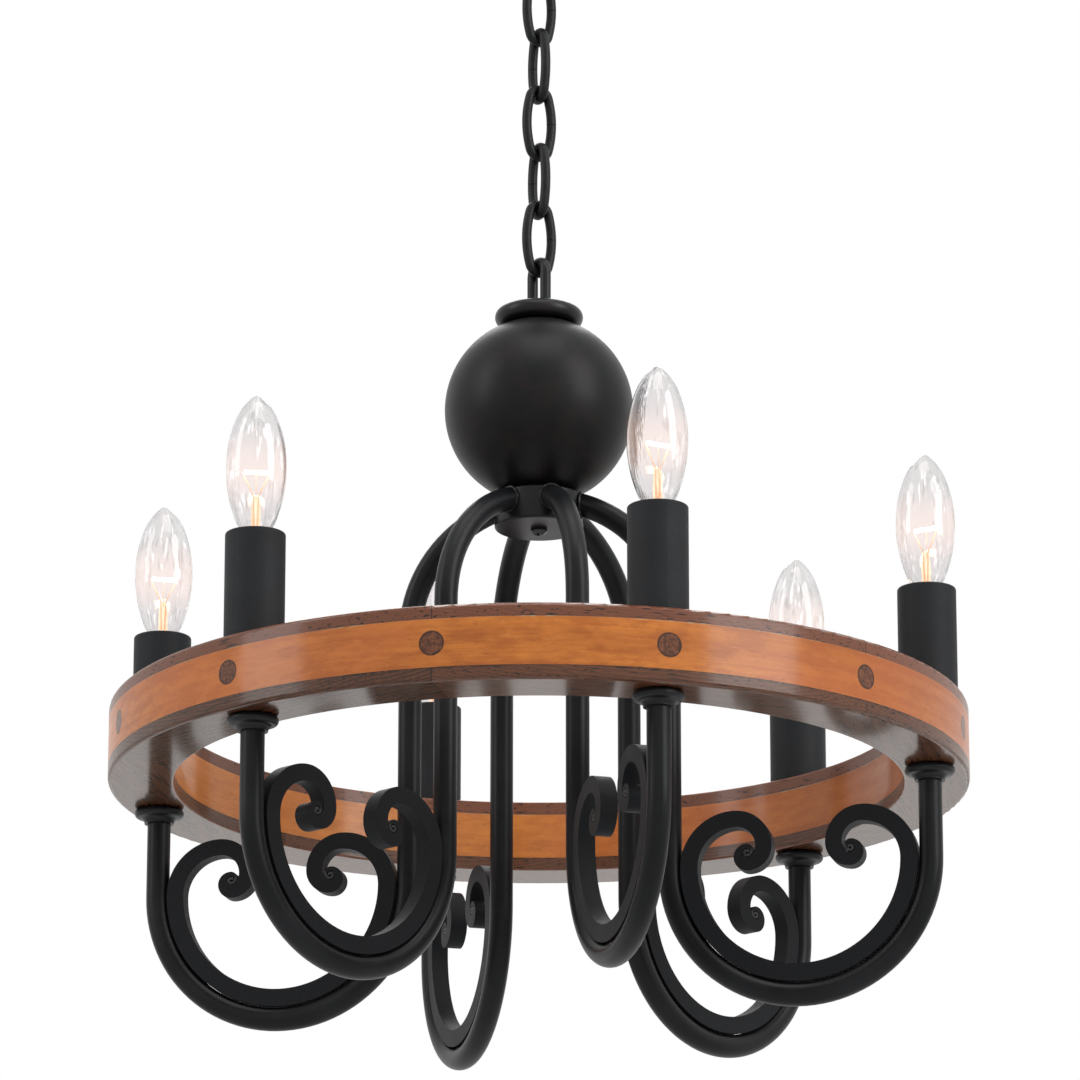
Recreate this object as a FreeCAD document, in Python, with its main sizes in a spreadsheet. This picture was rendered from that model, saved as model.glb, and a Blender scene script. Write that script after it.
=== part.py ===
import FreeCAD, Part
import math
import os
import re
import Sketcher

# Wagon wheel chandelier: a laminated wooden wheel rim on six bent steel arms, with six candle lamps,
# a hollow steel ball above the hub and a link chain up to a ceiling plate.
# Millimetres, +Z up. The origin is the centre of the ceiling plate where it meets the ceiling.
# Arm 1 points along +X and the others follow every 60 degrees.

# --- Driving dimensions ------------------------------------------------------------------------

ARM_COUNT = 6
LINK_COUNT = 6
DOWEL_COUNT = 12

FLUSH_GAP = 0.3  # running gap between a seat and the round piece that lies in it
THREAD_GAP = 0.1  # gap between a threaded piece and its nut or bore, thread left plain
WELD_GAP = 0.15  # root gap under the weld between two bent pieces

THREAD_DIAMETER = 10.2  # one-eighth pipe thread of the nipples and the centre rod
WIRE_WAY = 6.6  # bore of the nipples and the rod, for the lamp wires
NUT_ACROSS_FLATS = 15  # lock nuts on the pipe thread
NUT_HEIGHT = 4  # lock nuts on the pipe thread

CANOPY_DIAMETER = 127  # ceiling plate across its rim
CANOPY_DEPTH = 26  # ceiling plate from its rim to its lowest face
CANOPY_WALL = 1.2  # sheet of the ceiling plate
CANOPY_FLANGE = 3  # width of the turned-out rim
CANOPY_SHOULDER = 14  # outside radius where the wall turns into the lowest face
CROSSBAR_END = 5.15  # steel left beyond each screw slot of the crossbar
CROSSBAR_WIDTH = 20  # steel bar screwed to the ceiling box
CROSSBAR_THICKNESS = 2  # steel bar screwed to the ceiling box
SCREW_SPACING = 79.4  # between the middles of the two screw slots
SLOT_LENGTH = 14.3  # screw slot, end to end
SLOT_WIDTH = 4.8  # screw slot

LOOP_WIRE = 6  # round bar of the loops on the ceiling plate and on the ball
LOOP_BOW = 7.5  # centre line radius of a loop's bow
STUD_DIAMETER = 26  # threaded stud of the ceiling loop
STUD_LENGTH = 24  # threaded stud of the ceiling loop
STUD_BELOW = 10  # how far the stud stands below the ceiling plate
STUD_FLOOR = 6  # solid end of the stud that carries the loop
STUD_ROUND = 3  # rounded lower edge of the stud
CEILING_LOOP_DROP = 22  # from the stud's end down to the middle of the bow's bar
COLLAR_WALL = 2.8  # ring nut under the ceiling plate, below its flange
COLLAR_FLANGE = 5.8  # ring nut under the ceiling plate, at its flange
COLLAR_FLANGE_HEIGHT = 3.2  # ring nut under the ceiling plate, at its flange
COLLAR_HEIGHT = 8.7  # ring nut under the ceiling plate
COLLAR_ROUND = 1.5  # rounded edges of the ring nut

LINK_WIRE = 5.4  # round wire of the chain
LINK_LENGTH = 45.2  # one link, outside
LINK_WIDTH = 20.9  # one link, outside
LINK_END_RADIUS = 5.8  # centre line radius of a link's ends
LINK_SEAM = 0.4  # open butt joint in the middle of one leg
LINK_SLACK = 0.2  # gap between two links where they bear on each other
LINK_ANGLE = 41.6  # turn of every other link about the lamp's axis

BALL_LOOP_RISE = 27.1  # from the ball's collar up to the middle of the bow's bar
BALL_DIAMETER = 104  # hollow steel ball
BALL_WALL = 1.5  # hollow steel ball
CAP_RIM_RADIUS = 5  # full-round rim of the ball's collar
CAP_RIM_CIRCLE = 19.4  # radius from the axis to the middle of that rim

HUB_DIAMETER = 48  # cup that the arms are welded to
HUB_HEIGHT = 16.6  # cup that the arms are welded to
HUB_SEAT_RADIUS = 17.2  # inner edge of the cup's mouth, in which the ball lies
HUB_DISH_DEPTH = 3.2  # mouth of the cup above its web
HUB_WEB = 3  # web that the centre rod passes
HUB_WALL = 4.5  # wall of the cup below its web
HUB_EDGE_ROUND = 1  # outer edge of the cup's mouth
ROD_BELOW_WEB = 6.4  # centre rod below the web, through its nut
COVER_OVERHANG = 0.4  # how far the cover stands out past the cup
COVER_THICKNESS = 2  # disc that closes the cup
COVER_ROUND = 1.5  # lower edge of that disc
SCREW_HEAD_DIAMETER = 9.2  # pan-head screw of the cover
SCREW_HEAD_SIDE = 1.4  # straight side of the screw's head
SCREW_HEAD_HEIGHT = 3.8  # pan-head screw of the cover
SCREW_HEAD_CROWN = 7.36  # radius of the head's domed top
SCREW_SHANK_LENGTH = 12  # pan-head screw of the cover
SCREW_RECESS_SPAN = 5.4  # cross recess, tip to tip
SCREW_RECESS_ARM = 1.2  # cross recess, width of an arm
SCREW_RECESS_DEPTH = 1.7  # cross recess

TUBE_DIAMETER = 12.7  # bent steel tube of the arms
TUBE_WALL = 1.2  # bent steel tube of the arms
BEND_RADIUS = 71  # centre line radius of both bends of an arm
ARM_BELOW_HUB_TOP = 6.5  # from the hub's top to where an arm's centre line meets its wall
INNER_LEG_LENGTH = 140.6  # straight part between an arm's two bends
OUTER_LEG_LENGTH = 49.6  # from the lower bend up to the rim's underside

RING_OUTER_RADIUS = 233  # wooden rim
RING_WIDTH = 35.5  # wooden rim, radially
CANDLE_INSET = 18.5  # from the rim's outer face in to the candles and the arms' outer legs
TOP_LAYER = 7.5  # dark upper layer of the rim
MIDDLE_LAYER = 25.3  # light middle layer of the rim
BOTTOM_LAYER = 7.4  # dark lower layer of the rim
RING_EDGE_ROUND = 2  # outer edges of the rim
RING_INNER_ROUND = 1  # inner edges of the rim
DOWEL_DIAMETER = 12.7  # round plugs in the rim's outer face
DOWEL_LENGTH = 12  # round plugs in the rim's outer face
DOWEL_RECESS = 0.05  # how far a plug's flat end lies below the rim's outer face

BAR_SIDE = 9.5  # square bar of the scrolls
CROWN_RADIUS = 30  # scroll's outer edge: the turn at its shoulder
NECK_RADIUS = 20  # scroll's outer edge: the turn into its curl
CURL_FIRST_RADIUS = 13.2  # scroll's outer edge: first quarter of the curl
CURL_SECOND_RADIUS = 7.6  # scroll's outer edge: second quarter of the curl
CURL_THIRD_RADIUS = 7.0  # scroll's outer edge: third quarter of the curl
CURL_TIP_RADIUS = 3.9  # scroll's outer edge: last turn of the curl
INSIDE_CROWN_RADIUS = 21  # scroll's inner edge: the turn at its shoulder
INSIDE_NECK_RADIUS = 10.5  # scroll's inner edge: the turn into its curl
INSIDE_THROAT_RADIUS = 8  # scroll's inner edge: where the bar begins to thin
EYE_FIRST_RADIUS = 3  # scroll's inner edge: first turn of the eye
EYE_SECOND_RADIUS = 2.6  # scroll's inner edge: second turn of the eye
EYE_TIP_RADIUS = 2.4  # scroll's inner edge: last turns of the eye
THROAT_ANGLE = 45  # scroll's inner edge: how far the throat turns before the eye
CURL_END_ANGLE = 60  # how far the last arc of both edges turns, up to the bar's tip

COLLAR_DISC_DIAMETER = 27  # pressed collar under the rim, on each arm
COLLAR_DISC_THICKNESS = 5  # rounded disc of that collar
COLLAR_COVE_RADIUS = 3.2  # hollow below the disc
COLLAR_NECK_WALL = 1.6  # lowest edge of that collar, round the tube
NIPPLE_IN_TUBE = 17.8  # nipple inside the arm, below the rim
NIPPLE_ABOVE_RING = 16  # nipple above the rim, into the lamp socket

SLEEVE_DIAMETER = 31.75  # candle sleeve
SLEEVE_WALL = 1.5  # candle sleeve
SLEEVE_HEIGHT = 58  # candle sleeve
SLEEVE_MOUTH = 21  # hole in the top of the candle sleeve
SLEEVE_ROUND = 1.2  # top edge of the candle sleeve
SOCKET_DIAMETER = 18.6  # lamp socket inside the sleeve
SOCKET_TOP_GAP = 1  # from the socket's top up to the sleeve's top
SOCKET_WELL_DEPTH = 18  # well in the socket's top for the bulb's base
SOCKET_WELL_DIAMETER = 12.4  # well in the socket's top for the bulb's base
SOCKET_FOOT_DEPTH = 13.8  # threaded bore in the socket's foot

BASE_DIAMETER = 11.9  # screw shell of the bulb's base
BASE_LENGTH = 17  # bulb's base with its contact
BASE_CONTACT_RADIUS = 2.6  # contact at the end of the base
BASE_CONTACT_HEIGHT = 1.4  # contact at the end of the base
BASE_CONE_HEIGHT = 3  # insulating cone above the contact
BULB_RADIUS = 16  # widest point of the glass
BULB_MID_HEIGHT = 36.2  # widest point of the glass above the sleeve
BULB_LOWER_RADIUS = 82  # profile below the widest point
BULB_UPPER_RADIUS = 70  # profile above the widest point
BULB_NOSE_RADIUS = 32  # profile of the flame's nose
BULB_LOWER_ANGLE = 21.8  # how far the profile below the widest point turns
BULB_UPPER_ANGLE = 21.6  # how far the profile above the widest point turns
BULB_NOSE_ANGLE = 28.1  # how far the nose turns before its tip
BULB_NECK_RADIUS = 6.5  # glass where it enters the base
BULB_NECK_DROP = 0.5  # glass neck below the sleeve's top
BULB_WALL = 0.8  # glass
STEM_RADIUS = 2.5  # glass stem inside the bulb
STEM_HEIGHT = 20  # top of the stem above the sleeve
STEM_TAPER = 5  # pinched top of the stem
STEM_TOP_RADIUS = 1.7  # pinched top of the stem
LEAD_WIRE = 0.7  # wires that carry the filament
FILAMENT_HEIGHT = 34  # filament above the sleeve
FILAMENT_SPAN = 15  # filament, end to end
FILAMENT_WIRE = 0.9  # coiled filament as a plain rod


# --- Sheets ------------------------------------------------------------------------------------

doc = FreeCAD.newDocument("WagonWheelChandelier")
sizes = doc.addObject("Spreadsheet::Sheet", "Sizes")
places = doc.addObject("Spreadsheet::Sheet", "Places")
cells = {}


def bound(formula, own_sheet=""):
    """The formula with each plain name of a size or place turned into a reference to its cell."""
    def cell(word):
        home = cells.get(word.group())
        return word.group() if home in (None, own_sheet) else home + "." + word.group()
    return re.sub(r"[a-z][a-z0-9_]*", cell, formula)


def note_row(sheet, name, content, note):
    """Write one named cell with its note on the next free row of a sheet."""
    row = 1 + sum(1 for home in cells.values() if home == sheet.Name)
    sheet.set("A%d" % row, name)
    sheet.set("B%d" % row, content)
    sheet.set("C%d" % row, note)
    sheet.setAlias("B%d" % row, name)
    cells[name] = sheet.Name


def place(name, formula, note):
    """A dimension or a level that is worked out from the driving dimensions."""
    note_row(places, name, "=" + bound(formula, "Places"), note)


def value(formula):
    """The formula's number as the sheets stand."""
    return float(sizes.evalExpression(bound(formula)))


driving = dict(
    arm_count=ARM_COUNT, link_count=LINK_COUNT, dowel_count=DOWEL_COUNT,
    flush_gap=FLUSH_GAP, thread_gap=THREAD_GAP, weld_gap=WELD_GAP,
    thread_diameter=THREAD_DIAMETER, wire_way=WIRE_WAY, nut_across_flats=NUT_ACROSS_FLATS,
    nut_height=NUT_HEIGHT,
    canopy_diameter=CANOPY_DIAMETER, canopy_depth=CANOPY_DEPTH, canopy_wall=CANOPY_WALL,
    canopy_flange=CANOPY_FLANGE, canopy_shoulder=CANOPY_SHOULDER, crossbar_end=CROSSBAR_END,
    crossbar_width=CROSSBAR_WIDTH, crossbar_thickness=CROSSBAR_THICKNESS, screw_spacing=SCREW_SPACING,
    slot_length=SLOT_LENGTH, slot_width=SLOT_WIDTH,
    loop_wire=LOOP_WIRE, loop_bow=LOOP_BOW, stud_diameter=STUD_DIAMETER, stud_length=STUD_LENGTH,
    stud_below=STUD_BELOW, stud_floor=STUD_FLOOR, stud_round=STUD_ROUND,
    ceiling_loop_drop=CEILING_LOOP_DROP, collar_wall=COLLAR_WALL, collar_flange=COLLAR_FLANGE,
    collar_flange_height=COLLAR_FLANGE_HEIGHT, collar_height=COLLAR_HEIGHT, collar_round=COLLAR_ROUND,
    link_wire=LINK_WIRE, link_length=LINK_LENGTH, link_width=LINK_WIDTH,
    link_end_radius=LINK_END_RADIUS, link_seam=LINK_SEAM, link_slack=LINK_SLACK, link_angle=LINK_ANGLE,
    ball_loop_rise=BALL_LOOP_RISE, ball_diameter=BALL_DIAMETER, ball_wall=BALL_WALL,
    cap_rim_radius=CAP_RIM_RADIUS, cap_rim_circle=CAP_RIM_CIRCLE,
    hub_diameter=HUB_DIAMETER, hub_height=HUB_HEIGHT, hub_seat_radius=HUB_SEAT_RADIUS,
    hub_dish_depth=HUB_DISH_DEPTH, hub_web=HUB_WEB, hub_wall=HUB_WALL, hub_edge_round=HUB_EDGE_ROUND,
    rod_below_web=ROD_BELOW_WEB, cover_overhang=COVER_OVERHANG, cover_thickness=COVER_THICKNESS,
    cover_round=COVER_ROUND, screw_head_diameter=SCREW_HEAD_DIAMETER, screw_head_side=SCREW_HEAD_SIDE,
    screw_head_height=SCREW_HEAD_HEIGHT, screw_head_crown=SCREW_HEAD_CROWN,
    screw_shank_length=SCREW_SHANK_LENGTH, screw_recess_span=SCREW_RECESS_SPAN,
    screw_recess_arm=SCREW_RECESS_ARM, screw_recess_depth=SCREW_RECESS_DEPTH,
    tube_diameter=TUBE_DIAMETER, tube_wall=TUBE_WALL, bend_radius=BEND_RADIUS,
    arm_below_hub_top=ARM_BELOW_HUB_TOP, inner_leg_length=INNER_LEG_LENGTH,
    outer_leg_length=OUTER_LEG_LENGTH,
    ring_outer_radius=RING_OUTER_RADIUS, ring_width=RING_WIDTH, candle_inset=CANDLE_INSET,
    top_layer=TOP_LAYER, middle_layer=MIDDLE_LAYER, bottom_layer=BOTTOM_LAYER,
    ring_edge_round=RING_EDGE_ROUND, ring_inner_round=RING_INNER_ROUND, dowel_diameter=DOWEL_DIAMETER,
    dowel_length=DOWEL_LENGTH, dowel_recess=DOWEL_RECESS,
    bar_side=BAR_SIDE, crown_radius=CROWN_RADIUS, neck_radius=NECK_RADIUS,
    curl_first_radius=CURL_FIRST_RADIUS, curl_second_radius=CURL_SECOND_RADIUS,
    curl_third_radius=CURL_THIRD_RADIUS, curl_tip_radius=CURL_TIP_RADIUS,
    inside_crown_radius=INSIDE_CROWN_RADIUS, inside_neck_radius=INSIDE_NECK_RADIUS,
    inside_throat_radius=INSIDE_THROAT_RADIUS, eye_first_radius=EYE_FIRST_RADIUS,
    eye_second_radius=EYE_SECOND_RADIUS, eye_tip_radius=EYE_TIP_RADIUS, throat_angle=THROAT_ANGLE,
    curl_end_angle=CURL_END_ANGLE,
    collar_disc_diameter=COLLAR_DISC_DIAMETER, collar_disc_thickness=COLLAR_DISC_THICKNESS,
    collar_cove_radius=COLLAR_COVE_RADIUS, collar_neck_wall=COLLAR_NECK_WALL,
    nipple_in_tube=NIPPLE_IN_TUBE, nipple_above_ring=NIPPLE_ABOVE_RING,
    sleeve_diameter=SLEEVE_DIAMETER, sleeve_wall=SLEEVE_WALL, sleeve_height=SLEEVE_HEIGHT,
    sleeve_mouth=SLEEVE_MOUTH, sleeve_round=SLEEVE_ROUND, socket_diameter=SOCKET_DIAMETER,
    socket_top_gap=SOCKET_TOP_GAP, socket_well_depth=SOCKET_WELL_DEPTH,
    socket_well_diameter=SOCKET_WELL_DIAMETER, socket_foot_depth=SOCKET_FOOT_DEPTH,
    base_diameter=BASE_DIAMETER, base_length=BASE_LENGTH, base_contact_radius=BASE_CONTACT_RADIUS,
    base_contact_height=BASE_CONTACT_HEIGHT, base_cone_height=BASE_CONE_HEIGHT, bulb_radius=BULB_RADIUS,
    bulb_mid_height=BULB_MID_HEIGHT, bulb_lower_radius=BULB_LOWER_RADIUS,
    bulb_upper_radius=BULB_UPPER_RADIUS, bulb_nose_radius=BULB_NOSE_RADIUS,
    bulb_lower_angle=BULB_LOWER_ANGLE, bulb_upper_angle=BULB_UPPER_ANGLE,
    bulb_nose_angle=BULB_NOSE_ANGLE, bulb_neck_radius=BULB_NECK_RADIUS, bulb_neck_drop=BULB_NECK_DROP,
    bulb_wall=BULB_WALL, stem_radius=STEM_RADIUS, stem_height=STEM_HEIGHT, stem_taper=STEM_TAPER,
    stem_top_radius=STEM_TOP_RADIUS, lead_wire=LEAD_WIRE, filament_height=FILAMENT_HEIGHT,
    filament_span=FILAMENT_SPAN, filament_wire=FILAMENT_WIRE,
)
for name, number in driving.items():
    note_row(sizes, name, str(number), "driving dimension")

ARM_STEP = 360/ARM_COUNT
CROSS_ANGLE = LINK_ANGLE + 90


# --- Worked-out dimensions and levels ----------------------------------------------------------

place("thread_bore", "thread_diameter + 2*thread_gap", "bore on a pipe thread")
place("crossbar_length", "screw_spacing + slot_length + 2*crossbar_end", "steel bar of the ceiling box")
place("stud_end", "0 - canopy_depth - stud_below", "lower end of the ceiling loop's stud")
place("bow_root", "stud_floor/3", "start of the ceiling loop's bow in the stud's floor")
place("ceiling_bow", "stud_end - ceiling_loop_drop", "middle of the bar at the ceiling loop's lowest point")
place("loop_seat", "(loop_wire + link_wire)/2 + link_slack",
      "between bar centres where a link bears on a loop")
place("link_half", "(link_length - link_wire)/2", "from a link's middle to its end's bar centre")
place("link_side", "(link_width - link_wire)/2", "from a link's middle to its leg's bar centre")
place("link_pitch", "link_length - 2*link_wire - link_slack", "from link to link")
place("link_end_rise", "link_half - link_end_radius", "from a link's middle to the centre of its end arc")
place("link_leg_radius",
      "(link_side^2 + link_end_rise^2 - link_end_radius^2)/(2*(link_side - link_end_radius))",
      "centre line radius of a link's bowed legs")
place("link_join_x", "link_end_radius*(link_leg_radius - link_side)/(link_leg_radius - link_end_radius)",
      "where a leg's arc meets the end's arc")
place("link_join_z", "link_end_rise*link_leg_radius/(link_leg_radius - link_end_radius)",
      "where a leg's arc meets the end's arc")
place("seam_x", "link_side - link_leg_radius + sqrt(link_leg_radius^2 - (link_seam/2)^2)",
      "leg at the butt joint")
place("top_link_level", "ceiling_bow + loop_seat - link_half", "middle of the uppermost link")
place("bottom_link_level", "top_link_level - %d*link_pitch" % (LINK_COUNT - 1), "middle of the lowest link")
place("ball_bow", "bottom_link_level - link_half + loop_seat",
      "middle of the bar at the ball loop's highest point")
place("cap_top", "ball_bow - ball_loop_rise", "top of the ball's collar")

place("ball_radius", "ball_diameter/2", "hollow steel ball")
place("ball_seat", "ball_radius + flush_gap", "radius of a seat on the ball")
place("cap_rise", "sqrt((ball_seat + cap_rim_radius)^2 - cap_rim_circle^2)",
      "collar's rim above the ball's centre")
place("ball_level", "cap_top - cap_rim_radius - cap_rise", "ball's centre")
place("cap_share", "ball_seat/(ball_seat + cap_rim_radius)",
      "rim's tangent point as a share of its centre's distance")
place("rod_hole", "thread_bore/2", "radius of every hole that the rod passes")

place("hub_radius", "hub_diameter/2", "cup that the arms are welded to")
place("hub_top", "ball_level - sqrt(ball_seat^2 - hub_seat_radius^2)", "mouth of the cup")
place("hub_bottom", "hub_top - hub_height", "lower edge of the cup")
place("web_bottom", "hub_top - hub_dish_depth - hub_web", "underside of the web")
place("cover_bottom", "hub_bottom - cover_thickness", "underside of the cover")

place("tube_radius", "tube_diameter/2", "bent steel tube of the arms")
place("arm_reach", "ring_outer_radius - candle_inset", "from the axis to the outer legs and the candles")
place("inner_leg_radius", "arm_reach - 2*bend_radius", "from the axis to the arms' inner legs")
place("bend_reach", "arm_reach - bend_radius", "from the axis to the lower bend's centre")
place("upper_bend_x", "inner_leg_radius - bend_radius", "upper bend's centre, from the axis")
place("upper_bend_level",
      "hub_top - arm_below_hub_top - sqrt(bend_radius^2 - (hub_radius - upper_bend_x)^2)",
      "upper bend's centre")
place("bend_level", "upper_bend_level - inner_leg_length",
      "lower bend's centre, on which the scrolls are centred")
place("arm_root_x", "hub_radius - tube_radius", "arm's centre line before its end is cut to the hub")
place("arm_root_rise", "sqrt(bend_radius^2 - (arm_root_x - upper_bend_x)^2)",
      "that point above the bend's centre")

place("ring_inner_radius", "ring_outer_radius - ring_width", "wooden rim")
place("ring_bottom", "bend_level + outer_leg_length", "underside of the rim")
place("middle_level", "ring_bottom + bottom_layer", "underside of the middle layer")
place("top_level", "middle_level + middle_layer", "underside of the top layer")
place("ring_top", "top_level + top_layer", "top of the rim, on which the candles stand")
place("dowel_root", "ring_outer_radius - dowel_recess - dowel_length", "inner end of a plug")

place("scroll_outer_radius", "bend_radius - tube_radius - weld_gap", "scroll's outer edge along the bend")
place("scroll_inner_radius", "scroll_outer_radius - bar_side", "scroll's inner edge along the bend")

place("socket_foot", "nut_height + flush_gap", "socket's lower end above the rim")
place("socket_top", "sleeve_height - socket_top_gap", "socket's upper end above the rim")
place("well_floor", "socket_top - socket_well_depth", "floor of the socket's well above the rim")
place("contact_way", "wire_way/4", "radius of the way from the socket's well down to its foot")
place("base_top", "0 - bulb_neck_drop - flush_gap", "top of the bulb's base, from the sleeve's top")
place("base_bottom", "base_top - base_length", "end of the contact, from the sleeve's top")
place("bulb_tip_angle", "90 - bulb_upper_angle - bulb_nose_angle", "how far the glass's tip turns")
doc.recompute()


# --- Drawing helpers ---------------------------------------------------------------------------

def origin_part(body, role):
    """The plane or axis of a body's own origin that has this role."""
    return next(item for item in body.Origin.OriginFeatures if item.Role == role)


def new_body(label, level="0", turn=0, reach="0"):
    """A body whose own frame lies at this level, turned about the lamp's axis and moved out by reach."""
    body = doc.addObject("PartDesign::Body", label)
    body.AllowCompound = True
    upright = FreeCAD.Vector(0, 0, 1)
    body.Placement = FreeCAD.Placement(FreeCAD.Vector(0, 0, 0), FreeCAD.Rotation(upright, turn))
    body.setExpression("Placement.Base.x", bound("(%s)*cos(%s)" % (reach, turn)))
    body.setExpression("Placement.Base.y", bound("(%s)*sin(%s)" % (reach, turn)))
    body.setExpression("Placement.Base.z", bound(level))
    return body


def new_sketch(body, name, plane, offset="0"):
    """A sketch on one of the body's own origin planes, moved along the plane's normal by offset."""
    sketch = body.newObject("Sketcher::SketchObject", body.Name + "_" + name)
    sketch.AttachmentSupport = [(origin_part(body, plane), "")]
    sketch.MapMode = "FlatFace"
    sketch.setExpression("AttachmentOffset.Base.z", bound(offset))
    return sketch


def fix(sketch, kind, item, point, formula):
    """Hold one coordinate of a point at a formula: kind is DistanceX or DistanceY."""
    if formula == "0":
        axis_line = -2 if kind == "DistanceX" else -1
        sketch.addConstraint(Sketcher.Constraint("PointOnObject", item, point, axis_line))
        return
    held = sketch.addConstraint(Sketcher.Constraint(kind, -1, 1, item, point, value(formula)))
    sketch.setExpression("Constraints[%d]" % held, bound(formula))


def hold_radius(sketch, item, formula):
    """Hold the radius of a circle or an arc at a formula."""
    held = sketch.addConstraint(Sketcher.Constraint("Radius", item, value(formula)))
    sketch.setExpression("Constraints[%d]" % held, bound(formula))


def circle(sketch, x, y, radius):
    """A circle whose centre and radius are formulas."""
    centre = FreeCAD.Vector(value(x), value(y), 0)
    item = sketch.addGeometry(Part.Circle(centre, FreeCAD.Vector(0, 0, 1), value(radius)))
    fix(sketch, "DistanceX", item, 3, x)
    fix(sketch, "DistanceY", item, 3, y)
    hold_radius(sketch, item, radius)


def upright_axis(sketch, x):
    """A construction line parallel to the lamp's axis at x and as long as x, to turn a profile about."""
    ends = (FreeCAD.Vector(value(x), 0, 0), FreeCAD.Vector(value(x), value(x), 0))
    item = sketch.addGeometry(Part.LineSegment(*ends), True)
    fix(sketch, "DistanceX", item, 1, x)
    fix(sketch, "DistanceY", item, 1, "0")
    fix(sketch, "DistanceX", item, 2, x)
    fix(sketch, "DistanceY", item, 2, x)


def bent_run(start, end, side, radius):
    """The arc of at most a half turn from start to end that turns to this side, drawn counter-clockwise."""
    chord = end - start
    half = chord.Length/2
    across = FreeCAD.Vector(-chord.y, chord.x, 0).normalize()
    inward = across if side == "left" else across.negative()
    centre = (start + end)*0.5 + inward*math.sqrt(max(radius*radius - half*half, 0))
    first, last = (start, end) if side == "left" else (end, start)
    first_angle = math.atan2(first.y - centre.y, first.x - centre.x)
    last_angle = math.atan2(last.y - centre.y, last.x - centre.x)
    whole = Part.Circle(centre, FreeCAD.Vector(0, 0, 1), radius)
    return Part.ArcOfCircle(whole, first_angle, last_angle)


def trace(sketch, corners, closed=True):
    """Draw the runs from corner to corner, straight or bent.

    A corner is (x, y) where a straight run starts, (x, y, side, radius) where an arc starts that turns to
    that side, or (x, y, side, radius, axis, centre) for a half turn, whose centre has that coordinate.
    """
    points = [FreeCAD.Vector(value(corner[0]), value(corner[1]), 0) for corner in corners]
    run_count = len(corners) if closed else len(corners) - 1
    runs = []
    for index in range(run_count):
        corner = corners[index]
        start = points[index]
        end = points[(index + 1) % len(points)]
        if len(corner) == 2:
            item = sketch.addGeometry(Part.LineSegment(start, end))
            runs.append((item, 1, 2))
            continue
        item = sketch.addGeometry(bent_run(start, end, corner[2], value(corner[3])))
        runs.append((item, 1, 2) if corner[2] == "left" else (item, 2, 1))
    for index in range(run_count):
        item, first, last = runs[index]
        fix(sketch, "DistanceX", item, first, corners[index][0])
        fix(sketch, "DistanceY", item, first, corners[index][1])
        if index + 1 < run_count or closed:
            next_item, next_first, _ = runs[(index + 1) % run_count]
            sketch.addConstraint(Sketcher.Constraint("Coincident", item, last, next_item, next_first))
        else:
            fix(sketch, "DistanceX", item, last, corners[-1][0])
            fix(sketch, "DistanceY", item, last, corners[-1][1])
        if len(corners[index]) == 4:
            hold_radius(sketch, item, corners[index][3])
        if len(corners[index]) == 6:
            fix(sketch, corners[index][4], item, 3, corners[index][5])


def tangent_arcs(start, heading, arcs):
    """Corners of arcs that flow into each other, all turning left, and the point where they end.

    start is a pair of formulas, heading the first direction in degrees, and each arc is its radius and the
    degrees it turns.
    """
    corners = []
    x, y = start
    for radius, turn in arcs:
        corners.append((x, y, "left", radius))
        before = math.radians(heading)
        heading = heading + turn
        after = math.radians(heading)
        x = "%s + (%s)*(%.9f)" % (x, radius, math.sin(after) - math.sin(before))
        y = "%s + (%s)*(%.9f)" % (y, radius, math.cos(before) - math.cos(after))
    return corners, (x, y)


def walked_back(corners, end):
    """The same run of arcs walked from its end to its start, so that every arc turns right."""
    points = [corner[:2] for corner in corners] + [end]
    radii = [corner[3] for corner in corners]
    back = [points[index + 1] + ("right", radii[index]) for index in reversed(range(len(radii)))]
    return back + [points[0]]


def rectangle(left, bottom, right, top):
    """Corners of an upright rectangle."""
    return [(left, bottom), (right, bottom), (right, top), (left, top)]


def hexagon(x, across_flats):
    """Corners of a hexagon centred at x on the sketch's first axis."""
    flat = "%s + %s/2" % (x, across_flats)
    back = "%s - %s/2" % (x, across_flats)
    short = "%s/(2*sqrt(3))" % across_flats
    tall = "%s/sqrt(3)" % across_flats
    return [(flat, "0 - " + short), (flat, short), (x, tall), (back, short), (back, "0 - " + short),
            (x, "0 - " + tall)]


# --- Feature helpers ---------------------------------------------------------------------------

def feature(body, kind, sketch):
    """A feature of this kind made from the sketch."""
    made = body.newObject("PartDesign::" + kind, sketch.Name + "_" + kind)
    made.Profile = sketch
    return made


def turned(body, sketch, kind="Revolution", about="V_Axis"):
    """The sketch turned once round its own upright axis or its first construction line."""
    made = feature(body, kind, sketch)
    made.ReferenceAxis = (sketch, [about])
    made.Angle = 360
    return made


def padded(body, sketch, length, midplane=False):
    """The sketch padded along its normal."""
    made = feature(body, "Pad", sketch)
    made.setExpression("Length", bound(length))
    made.Midplane = midplane
    return made


def cut_through(body, sketch):
    """The sketch cut through the whole body, both ways."""
    made = feature(body, "Pocket", sketch)
    made.Type = "ThroughAll"
    made.Midplane = True
    return made


def swept(body, profile, path):
    """The profile swept along the path."""
    made = feature(body, "AdditivePipe", profile)
    made.Spine = (path, [])
    return made


def repeated_round(body, features, count):
    """The features repeated evenly round the body's upright axis."""
    pattern = body.newObject("PartDesign::PolarPattern", features[0].Name + "_round")
    pattern.Originals = features
    pattern.Axis = (origin_part(body, "Z_Axis"), [""])
    pattern.Angle = 360
    pattern.Occurrences = count
    body.Tip = pattern
    return pattern


def mirrored(body, features, plane):
    """The features mirrored on one of the body's own planes."""
    pattern = body.newObject("PartDesign::Mirrored", features[0].Name + "_mirror")
    pattern.Originals = features
    pattern.MirrorPlane = (origin_part(body, plane), [""])
    body.Tip = pattern
    return pattern


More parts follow.
